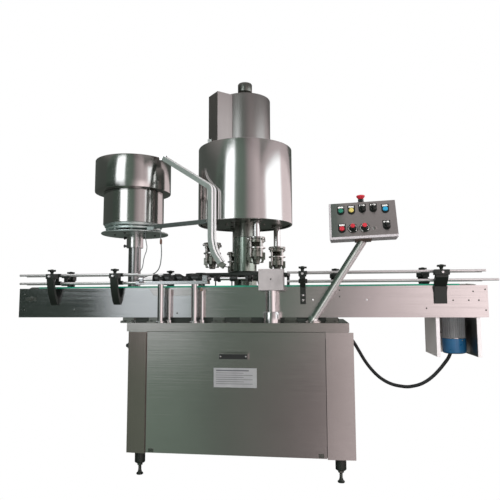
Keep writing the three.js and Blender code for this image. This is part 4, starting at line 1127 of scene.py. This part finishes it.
# ---- cap feeder ----
def feeder():
    post_at = (POST_AT.x, POST_AT.y, 0)
    post = Piece("feeder_post_tube")
    tube_profile = [(0, SEAT), (46, SEAT), (46, 771), (43, 775), (37.5, 776), (37.5, 1271), (0, 1271)]
    post.lathe(tube_profile, post_at, sides=96)
    post.done(STEEL_FEEDER_POST, FRAME, replaces=("feeder_post",), slot="brushed_steel")
    stand = Piece("feeder_stand_disc")
    disc_profile = [(0, 1272.3), (200, 1272.3), (202, 1274), (202, 1278), (200, 1280), (0, 1280)]
    stand.lathe(disc_profile, post_at, sides=128)
    # The stand disc's pale steel is painted light on its underside.
    stand.done(STEEL_UNDER, "feeder", replaces=("feeder_drive",), slot="brushed_steel")
    sleeve = Piece("feeder_clamp_sleeve")
    sleeve.ring(38.5, 50, 1192, 1272.3, post_at, sides=96)
    sleeve.done(STEEL_POST, "feeder")
    bolts = Piece("feeder_clamp_bolts")
    for z in (1205, 1255):
        bolts.rod((POST_AT.x - 68, POST_AT.y, z), (POST_AT.x - 46, POST_AT.y, z), 6, sides=16)
        bolts.hexagon((POST_AT.x - 62, POST_AT.y, z), -X_AXIS, 10, 8)
    for angle in around(6, 20):
        bolts.hexagon(polar(POST_AT, 120, angle, 1272.3), -Z_AXIS, 7, 5)
    bolts.done(BLACK, "feeder", bevel=0.5)
    drive_unit((FEEDER.x, FEEDER.y, 0))
    bowl((BOWL_AT.x, BOWL_AT.y, 0))
    chute()


def drive_unit(at):
    """Vibratory drive: rubber mounts, bolted flange ring and the skirt with its folded lower edge."""
    mounts = Piece("feeder_rubber_mounts")
    profile = [(0, 1280), (18, 1280), (20, 1286), (20, 1290), (18, 1297), (0, 1297)]
    for angle in around(3, 30):
        mounts.lathe(profile, polar(FEEDER, 145, angle, 0))
    mounts.done(RUBBER, "feeder")
    ring = Piece("feeder_flange_ring")
    ring.lathe([(0, 1296), (164, 1296), (166, 1298), (166, 1308), (164, 1310), (0, 1310)], at, sides=96)
    ring.lathe([(0, 1309), (172, 1314), (174, 1318), (174, 1334), (0, 1334)], at, sides=96)
    for angle in around(9, 5):
        ring.hexagon(polar(FEEDER, 152, angle, 1310), Z_AXIS, 8, 6)
        ring.hexagon(polar(FEEDER, 152, angle, 1296), -Z_AXIS, 8, 5)
    # The flange ring's pale steel is painted light on its underside.
    ring.done(STEEL_UNDER, "feeder", bevel=0.5)
    skirt = Piece("feeder_skirt")
    r = 182
    skirt.lathe([(r - 12, 1331), (r - 12, 1329), (r - 2, 1329), (r, 1331), (r, 1526), (0, 1526), (0, 1523),
                 (r - 3, 1523), (r - 3, 1331), (r - 12, 1331)], at, sides=128)
    skirt.done(STEEL_BOWL, "feeder")


def bowl(at):
    """Open cup with an eased rim and the spiral track up its inside."""
    z0, z1, r = BOWL_LOW.z, BOWL_HIGH.z, BOWL_R
    cup = Piece("feeder_bowl_cup")
    cup.lathe([(0, z0), (r - 5, z0), (r - 1.5, z0 + 1.5), (r, z0 + 5), (r, z1 - 2), (r - 1, z1), (r - 3, z1),
               (r - 4, z1 - 2), (r - 4, z0 + 8), (60, z0 + 14), (0, z0 + 20)], at, sides=160)
    cup.done(STEEL_BOWL, "bowl", replaces=("feeder_bowl",), slot="brushed_steel")
    track = Piece("feeder_bowl_track")
    steps = 120
    points = []
    for i in range(steps + 1):
        a = radians(-20 - 540 + 540 * i / steps)
        height = z0 + 20 + (z1 - 70 - z0) * i / steps
        out = Vector((cos(a), sin(a), 0))
        points.append((Vector((at[0], at[1], height)), out, Z_AXIS))
    track.sweep(points, [(r - 38, 0), (r - 4.5, -4), (r - 4.5, -1), (r - 38, 3)])
    track.done(STEEL_ROD, "bowl")


CHUTE = [Vector(p) for p in ((-486, 249, 1704), (-192, 104, 1500), (-166, 88, 1480), (-166, 88, 1185),
                             (-148, 86, 1120), (-112, 84, 1068))]


def chute_route():
    """The chute's centre line with its bends rounded by quadratic arcs."""
    route = [CHUTE[0]]
    for before, corner, after in zip(CHUTE, CHUTE[1:], CHUTE[2:]):
        reach = min((corner - before).length, (after - corner).length) * 0.45
        start = corner + (before - corner).normalized() * reach
        end = corner + (after - corner).normalized() * reach
        for i in range(7):
            t = i / 6
            route.append(start * (1 - t) ** 2 + corner * 2 * t * (1 - t) + end * t ** 2)
    return route + [CHUTE[-1]]


def chute():
    """Cap chute: a channel with a slot between its two lips, clamp at the bowl and pick-off nozzle."""
    route = chute_route()
    heading = Vector((CHUTE[1].x - CHUTE[0].x, CHUTE[1].y - CHUTE[0].y, 0)).normalized()
    level = Z_AXIS.cross(heading)
    stations = []
    for i, point in enumerate(route):
        along = (route[min(i + 1, len(route) - 1)] - route[max(i - 1, 0)]).normalized()
        out = along.cross(level).normalized()
        stations.append((point, out.cross(along).normalized(), out))
    # The channel's darker steel is painted shade on its sides.
    channel = Piece("cap_chute_channel")
    channel.sweep(stations, [(-21, -13), (21, -13), (21, 13), (5, 13), (5, 10.5), (18.5, 10.5), (18.5, -10.5),
                             (-18.5, -10.5), (-18.5, 10.5), (-5, 10.5), (-5, 13), (-21, 13)])
    channel.done(STEEL_CHUTE_SIDE, "feeder", replaces=("cap_chute",), slot="brushed_steel", bevel=0.4)
    # The lips' near-white steel is a painted highlight.
    lips = Piece("cap_chute_lips")
    for a, b in ((-21, -5), (5, 21)):
        lips.sweep(stations, [(a, 13.1), (b, 13.1), (b, 14.3), (a, 14.3)])
    lips.done(STEEL_CHUTE, "feeder", bevel=0.3)
    clamp = Piece("cap_chute_clamp")
    clamp.box((-514, 236, 1694), (-476, 264, 1722))
    clamp.rod((-496, 228, 1712), (-496, 240, 1712), 7)
    clamp.rod((-482, 232, 1690), (-482, 244, 1690), 5)
    clamp.done(STEEL_BRIGHT, "feeder", bevel=1.0)
    nozzle = Piece("cap_chute_nozzle")
    nozzle.box((-128, 69, 1044), (-92, 97, 1074), Matrix.Rotation(radians(35), 3, "Y"))
    nozzle.rod((-104, 84, 1052), (-60, 88, 1041), 3.2, 2.0, sides=12)
    nozzle.done(STEEL_OILY, "feeder", bevel=1.0)
    arm = Piece("chute_arm")
    start, end = Vector((-566, 262, 1300)), Vector((-184, 98, 1300))
    along = (end - start).normalized()
    side = along.cross(Z_AXIS)
    ends = [(start, side, Z_AXIS), (end, side, Z_AXIS)]
    arm.sweep(ends, [(-6, -12), (6, -12), (6, 12), (-6, 12)])
    arm.box((-585, 240, 1280), (-545, 290, 1300))
    arm.done(STEEL_SHADE, "feeder", bevel=0.8)
    link = Piece("chute_arm_bolts")
    link.hexagon(end - along * 14 + side * 6, side, 7, 5)
    link.hexagon(start + along * 10 + side * 6, side, 7, 5)
    link.done(STEEL_BRIGHT, "feeder")
    connector = Piece("feeder_lead_connector")
    plug = [(3.2, -14), (6, -14), (7, -8), (7, 10), (5, 16), (3.2, 16), (3.2, -14)]
    connector.lathe(plug, (-517, 296, 1216), sides=16)
    connector.done(CONNECTOR, FRAME)


# ---- control panel ----
PANEL_W = 300
FACE = 200
SLOPE = radians(26)
RUN = FACE * sin(SLOPE)
RISE = FACE * cos(SLOPE)
BOX_TOP = 36
PANEL = (Matrix.Translation(Vector((611.5, -338, 1135))) @ Matrix.Rotation(radians(-2.9), 4, "Z")
         @ Matrix.Rotation(radians(-1.66), 4, "Y"))
FACE_FRAME = PANEL @ Matrix.Rotation(radians(90) - SLOPE, 4, "X")
PUSHES = {"push_green": (-96, 152, CAP_GREEN), "push_yellow": (-48, 152, CAP_YELLOW),
          "push_blue": (103, 148, CAP_BLUE), "push_red": (-94, 53, CAP_RED)}
SELECTORS = {"selector_mode": (1, 157), "selector_feeder": (50, 157), "selector_jog": (102, 58)}
POTS = {"pot_conveyor": (-46, 55), "pot_turret": (6, 55)}
LID_ENDS = (461, 761)  # the lid's left and right ends along X
STEM_R = 19


def legend(name, x, y):
    """Black legend plate with round lower end and a blank white label along its top."""
    outline = [(x - 17, y + 30)] + arc(x, y - 3.5, 17, 180, 360, 20) + [(x + 17, y + 30)]
    Piece(name + "_legend", FACE_FRAME).prism(outline, 0.2, 2.2).done(BLACK_GLOSS, FRAME, bevel=0.5)
    Piece(name + "_label", FACE_FRAME).box((x - 12, y + 17.5, 2.1), (x + 12, y + 26, 2.6)).done(LABEL, FRAME)


def lid_steel():
    """The panel lid's steel, darker and greener towards its left edge: a painted dark reflection."""
    material, nodes, links, shader = principled("steel_lid", 0.32, 1.0)
    x = coordinate_axes(nodes, links, "Object")["X"]
    along = span(nodes, links, x, *(mm(end, 0, 0).x for end in LID_ENDS))
    stops = [(0.0, (0.27, 0.33, 0.3)), (0.1, (0.3, 0.35, 0.32)), (0.26, (0.56, 0.535, 0.525)),
             (1.0, (0.58, 0.55, 0.545))]
    links.new(ramp(nodes, links, along, stops), shader.inputs["Base Color"])
    streaks = noise(nodes, links, 1.0, ALONG_X, 3.0)
    links.new(vary(nodes, links, streaks, 0.29, 0.36), shader.inputs["Roughness"])
    bump(nodes, links, shader, streaks, 0.5, 0.0005)
    return material


def panel():
    half = PANEL_W / 2
    depth = RUN + BOX_TOP
    wedge = Piece("panel_console", PANEL)
    wedge.prism([(0, 0), (RUN, RISE), (depth, RISE), (depth, 0)], -half, half, "YZ")
    wedge.done(STEEL_RIM, FRAME, replaces=("panel_box",), bevel=3.0, slot="brushed_steel")
    lid = Piece("panel_lid", FACE_FRAME)
    lid.box((-half + 9, 13, -0.5), (half - 0.5, FACE - 1, 0.8))
    lid.done(lid_steel(), FRAME, bevel=0.6)
    flange = Piece("panel_post_flange", PANEL)
    flange.box((-40, 26, -8), (34, 94, 0.4))
    for x in (-32, 26):
        flange.hexagon((x, 34, -8), -Z_AXIS, 6, 5)
    flange.done(BROWN_STEEL, FRAME, bevel=0.8)
    lock = Piece("panel_cam_lock", FACE_FRAME)
    lock.lathe([(0, 0), (10, 0), (10, 1.5), (7.5, 2.6), (0, 2.6)], (50, 51.5, 0))
    lock.done(STEEL_PANEL, FRAME)
    slit = Piece("panel_cam_lock_slot", FACE_FRAME)
    slit.box((43, 50.1, 2.4), (57, 52.9, 3.0), Matrix.Rotation(radians(-55), 3, "Z"))
    slit.done(BLACK, FRAME)
    for name, (x, y, material) in PUSHES.items():
        legend(name, x, y)
        bezel = Piece(name + "_bezel", FACE_FRAME)
        bezel.ring(12.2, 14.2, 2.1, 5.2, (x, y, 0))
        bezel.done(BLACK_GLOSS, FRAME)
        cap = Piece(name + "_dome", FACE_FRAME)
        cap.lathe([(0, -14), (9.5, -14), (9.5, 3), (11.8, 3.2), (11.8, 8), (11, 10), (8, 11.5), (4, 12),
                   (0, 12)], (x, y, 0))
        cap.done(material, name + "_cap", replaces=(name,), slot="button_" + name.split("_")[1])
    for name, (x, y) in SELECTORS.items():
        selector(name, x, y)
    for name, (x, y) in POTS.items():
        potentiometer(name, x, y)
    emergency_stop()
    panel_post()


def selector(name, x, y):
    legend(name, x, y)
    knob = Piece(name + "_knob", FACE_FRAME)
    knob.lathe([(0, -14), (9.5, -14), (9.5, 2.4), (14, 2.6), (14, 7.5), (12, 9.5), (0, 9.5)], (x, y, 0))
    turn = Matrix.Rotation(radians(20), 3, "Z")
    knob.box((x - 4.5, y - 13.5, 8), (x + 4.5, y + 13.5, 22), turn)
    knob.done(BLACK_GLOSS, name + "_cap", replaces=(name,), bevel=1.2, slot="black_plastic")
    mark = Piece(name + "_pointer", FACE_FRAME)
    tip = turn @ Vector((0, 9, 0))
    mark.box((x + tip.x - 0.8, y + tip.y - 3, 21.8), (x + tip.x + 0.8, y + tip.y + 3, 22.3), turn)
    mark.done(LABEL, name + "_cap")


def potentiometer(name, x, y):
    """Dial with a scale of ticks, black skirted knob and red cap."""
    dial = Piece(name + "_dial", FACE_FRAME)
    dial.lathe([(5.5, 0.2), (24, 0.2), (24.3, 1.4), (5.5, 1.8), (5.5, 0.2)], (x, y, 0), sides=64)
    dial.done(BLACK, FRAME)
    ticks = Piece(name + "_ticks", FACE_FRAME)
    for i in range(15):
        turn = Matrix.Rotation(radians(240 - i * 20), 3, "Z")
        middle = Vector((x, y, 1.8)) + turn @ Vector((19.2, 0, 0))
        half = Vector((2.3, 0.9 if i % 7 else 1.5, 0.3))
        ticks.box(middle - half, middle + half, turn)
    ticks.done(LABEL, FRAME)
    knob = Piece(name + "_skirt", FACE_FRAME)
    profile = [(0, -14), (4.5, -14), (4.5, 2.6), (15, 2.8), (14, 6), (12, 9.5), (10.3, 12), (10, 21), (0, 21)]
    knob.lathe(profile, (x, y, 0))
    for a in around(16):
        rib = Vector((x + 10 * cos(a), y + 10 * sin(a), 0))
        knob.rod(rib + Vector((0, 0, 10)), rib + Vector((0, 0, 20)), 0.9, sides=8)
    knob.done(BLACK_GLOSS, name + "_cap", replaces=(name,), slot="black_plastic")
    cap = Piece(name + "_red_cap", FACE_FRAME)
    cap.lathe([(0, 20.5), (10.4, 20.5), (10.4, 23.6), (9.4, 25), (0, 25)], (x, y, 0))
    cap.done(CAP_RED, name + "_cap", slot="button_red")


def emergency_stop():
    at = (-2, RUN + 18, RISE)
    base = Piece("emergency_stop_base", PANEL)
    base.lathe([(13.5, 0), (16.5, 0), (16.5, 2.6), (13.5, 2.6), (13.5, 0)], at)
    base.done(BLACK_GLOSS, FRAME)
    stem = Piece("emergency_stop_stem", PANEL)
    stem.lathe([(0, -14), (10, -14), (10, 3), (13, 3.2), (13, 15), (11, 17), (0, 17)], at)
    stem.done(BLACK_GLOSS, "emergency_stop_cap")
    mushroom = Piece("emergency_stop_mushroom", PANEL)
    profile = [(0, 16), (11, 16), (13, 19), (18.5, 25.5), (20, 28), (20, 31), (18, 33.5), (11, 35.4), (0, 36)]
    mushroom.lathe(profile, at)
    mushroom.done(CAP_RED, "emergency_stop_cap", replaces=("emergency_stop",), slot="button_red")


def stem_steel(middle):
    """The leaning tube's steel: painted reflections and a painted highlight, laid as long light and dark
    bands along it, about a point on its axis.
    """
    material, nodes, links, shader = principled("steel_stem", 0.28, 0.2)
    lean = atan2(0.54, -0.841)
    turned = split(nodes, links, mapped(nodes, links, "Rotation", (0, lean, 0)))
    centre = middle.x * cos(lean) + middle.z * sin(lean)
    across = span(nodes, links, turned["X"], centre - STEM_R / 1000, centre + STEM_R / 1000)
    stops = [(0.0, (0.5, 0.44, 0.44)), (0.18, (0.72, 0.65, 0.65)), (0.4, (0.8, 0.75, 0.75)),
             (0.5, (0.4, 0.4, 0.38)), (0.6, (0.95, 0.95, 0.93)), (0.72, (0.5, 0.55, 0.5)),
             (0.8, (0.1, 0.14, 0.115)), (1.0, (0.07, 0.1, 0.08))]
    links.new(ramp(nodes, links, across, stops), shader.inputs["Base Color"])
    streaks = noise(nodes, links, 1.0, (80, 80, 80), 3.0)
    links.new(vary(nodes, links, streaks, 0.25, 0.32), shader.inputs["Roughness"])
    return material


def panel_post():
    """Leaning tube from its foot on the table, ending inside the flange under the panel."""
    foot = Vector((377, -45, SEAT))
    top = PANEL @ Vector((-3, 60, -3))
    tube = Piece("panel_post_tube")
    tube.rod(foot + Vector((0, 0, 20)), top, STEM_R, sides=64)
    tube.lathe([(0, 4), (24, 4), (24, 30), (22, 34), (0, 34)], foot)
    tube.done(stem_steel(mm(*((foot + top) / 2))), FRAME, replaces=("panel_post",), slot="brushed_steel")
    base = Piece("panel_post_foot")
    base.lathe([(0, 0), (39, 0), (40, 1), (40, 7), (39, 8), (0, 8)], foot, sides=64)
    for a in around(3, 30):
        base.hexagon(polar(foot, 32, a, foot.z + 8), Z_AXIS, 5, 4)
    base.done(STEEL_TABLE, FRAME)


# ---- studio ----
# What the steel mirrors: a wall behind the operator with a bright window on the left, and a pinkish wall with
# another window on the right. Each row gives a wall's colour along its length, in metres, at one height.
PINK, GREENISH, DAYLIGHT = (1.04, 0.9, 0.91), (0.82, 1.08, 0.9), (0.96, 1.0, 1.02)


def shade(tint, level):
    """A tint made dimmer or brighter."""
    return tuple(c * level for c in tint)


FRONT_WALL = {
    "floor": [(-4.5, GREENISH, 0.10), (-2.6, GREENISH, 0.14), (-1.75, GREENISH, 0.26),
              (-1.1, GREENISH, 0.26), (-0.85, GREENISH, 0.17), (0.2, PINK, 0.2), (0.5, PINK, 0.28),
              (0.85, PINK, 0.72), (3.2, PINK, 0.75)],
    "low": [(-4.5, GREENISH, 0.04), (-1.98, GREENISH, 0.04), (-1.87, DAYLIGHT, 0.62), (-1.0, DAYLIGHT, 0.75),
            (-0.9, GREENISH, 0.16), (0.0, GREENISH, 0.2), (0.7, PINK, 0.52), (1.3, PINK, 1.05),
            (2.0, PINK, 1.5), (3.2, PINK, 1.5)],
    "middle": [(-4.5, GREENISH, 0.09), (-2.75, GREENISH, 0.11), (-2.5, DAYLIGHT, 2.3), (-1.1, DAYLIGHT, 2.3),
               (-0.95, GREENISH, 0.22), (0.3, GREENISH, 0.17), (0.9, PINK, 0.36), (1.6, PINK, 0.52),
               (2.3, PINK, 0.66), (3.2, PINK, 0.6)],
    "high": [(-4.5, GREENISH, 0.14), (-1.6, GREENISH, 0.2), (0.0, GREENISH, 0.13), (0.8, PINK, 0.2),
             (1.8, PINK, 0.42), (3.2, PINK, 0.5)],
}
RIGHT_WALL = {
    "floor": [(-2.8, PINK, 0.35), (12.0, PINK, 0.25)],
    "low": [(-2.8, PINK, 1.3), (-1.6, PINK, 1.3), (0.9, PINK, 1.2), (1.2, PINK, 0.9), (12.0, PINK, 0.6)],
    "middle": [(-2.8, PINK, 0.6), (-1.85, PINK, 0.75), (-1.6, DAYLIGHT, 1.75), (0.8, DAYLIGHT, 1.75),
               (0.95, PINK, 0.95), (12.0, PINK, 0.8)],
    "high": [(-2.8, PINK, 0.5), (0.0, PINK, 0.55), (12.0, PINK, 0.5)],
}
# Heights in metres over which one band gives way to the next, on each wall.
FRONT_BANDS = [("low", 0.2, 0.6), ("middle", 1.15, 1.6), ("high", 4.0, 4.15)]
RIGHT_BANDS = [("low", 0.2, 0.6), ("middle", 1.15, 1.6), ("high", 3.15, 3.2)]
# Room colour by the height of the direction, from straight down at -1 to straight up at 1.
ROOM = [(-1, (0.07, 0.078, 0.07)), (-0.2, (0.06, 0.068, 0.06)), (0.1, (0.08, 0.092, 0.083)),
        (0.45, (0.09, 0.1, 0.09)), (0.72, (0.4, 0.37, 0.365)), (1, (0.42, 0.4, 0.4))]


def wall(name, rows, bands, corners, axis):
    """A glowing wall whose colour runs along one axis and changes with height; the camera doesn't see it."""
    material = bpy.data.materials.new(name)
    material.use_nodes = True
    nodes, links = material.node_tree.nodes, material.node_tree.links
    nodes.clear()
    axes = coordinate_axes(nodes, links, "Object")
    low, high = rows["floor"][0][0], rows["floor"][-1][0]
    along = span(nodes, links, axes[axis], low, high)

    def band(key):
        stops = [((place - low) / (high - low), shade(tint, level)) for place, tint, level in rows[key]]
        return ramp(nodes, links, along, stops)

    colour = band("floor")
    for key, bottom, top in bands:
        step = span(nodes, links, axes["Z"], bottom, top)
        mix = nodes.new("ShaderNodeMix")
        mix.data_type = "RGBA"
        links.new(step, mix.inputs["Factor"])
        links.new(colour, mix.inputs[6])
        links.new(band(key), mix.inputs[7])
        colour = mix.outputs[2]
    glow = nodes.new("ShaderNodeEmission")
    links.new(colour, glow.inputs["Color"])
    output = nodes.new("ShaderNodeOutputMaterial")
    links.new(glow.outputs[0], output.inputs["Surface"])
    mesh = bpy.data.meshes.new(name)
    mesh.from_pydata(corners, [], [(0, 1, 2, 3)])
    mesh.materials.append(material)
    obj = scene_object(name, mesh)
    obj.visible_camera = False


def walls():
    """The two walls, each upright between two heights."""
    y = -2.95
    corners = [(-7.5, y, -1.6), (3.2, y, -1.6), (3.2, y, 5.2), (-7.5, y, 5.2)]
    wall("front_wall", FRONT_WALL, FRONT_BANDS, corners, "X")
    x = 2.9
    corners = [(x, -2.8, -0.5), (x, 12.0, -0.5), (x, 12.0, 3.8), (x, -2.8, 3.8)]
    wall("right_wall", RIGHT_WALL, RIGHT_BANDS, corners, "Y")


def world_light():
    """Plain white behind the machine for camera rays; for all other rays a dim room with a paler ceiling."""
    world = bpy.data.worlds.new("studio")
    bpy.context.scene.world = world
    world.use_nodes = True
    nodes, links = world.node_tree.nodes, world.node_tree.links
    nodes.clear()
    height = span(nodes, links, coordinate_axes(nodes, links, "Generated")["Z"], -1, 1)
    level = ramp(nodes, links, height, [(0.5 + z / 2, colour) for z, colour in ROOM])
    room = nodes.new("ShaderNodeBackground")
    links.new(level, room.inputs["Color"])
    white = nodes.new("ShaderNodeBackground")
    white.inputs["Color"].default_value = (1, 1, 1, 1)
    path = nodes.new("ShaderNodeLightPath")
    mix = nodes.new("ShaderNodeMixShader")
    links.new(path.outputs["Is Camera Ray"], mix.inputs["Fac"])
    links.new(room.outputs[0], mix.inputs[1])
    links.new(white.outputs[0], mix.inputs[2])
    output = nodes.new("ShaderNodeOutputWorld")
    links.new(mix.outputs[0], output.inputs["Surface"])


def fill_light(name, energy, size, place, turn):
    """Soft light that the polished steel doesn't mirror; turn is its tilt and heading in degrees."""
    data = bpy.data.lights.new(name, "AREA")
    data.shape = "RECTANGLE"
    data.size, data.size_y = size
    data.energy = energy
    light = scene_object(name, data)
    light.location = place
    light.rotation_euler = (radians(turn[0]), 0, radians(turn[1]))
    light.visible_glossy = False


bpy.context.scene.view_settings.view_transform = "Standard"
cabinet()
conveyor()
guide_rails()
conveyor_motor()
turret()
timing_worm()
worm_rest()
cardan_shaft()
gearbox()
feeder()
panel()
world_light()
walls()
fill_light("soft_fill", 70, (3.0, 2.0), (0.8, -2.6, 2.9), (55, 12))
fill_light("low_fill", 24, (2.0, 1.0), (0.1, -2.5, 0.25), (106, -11))
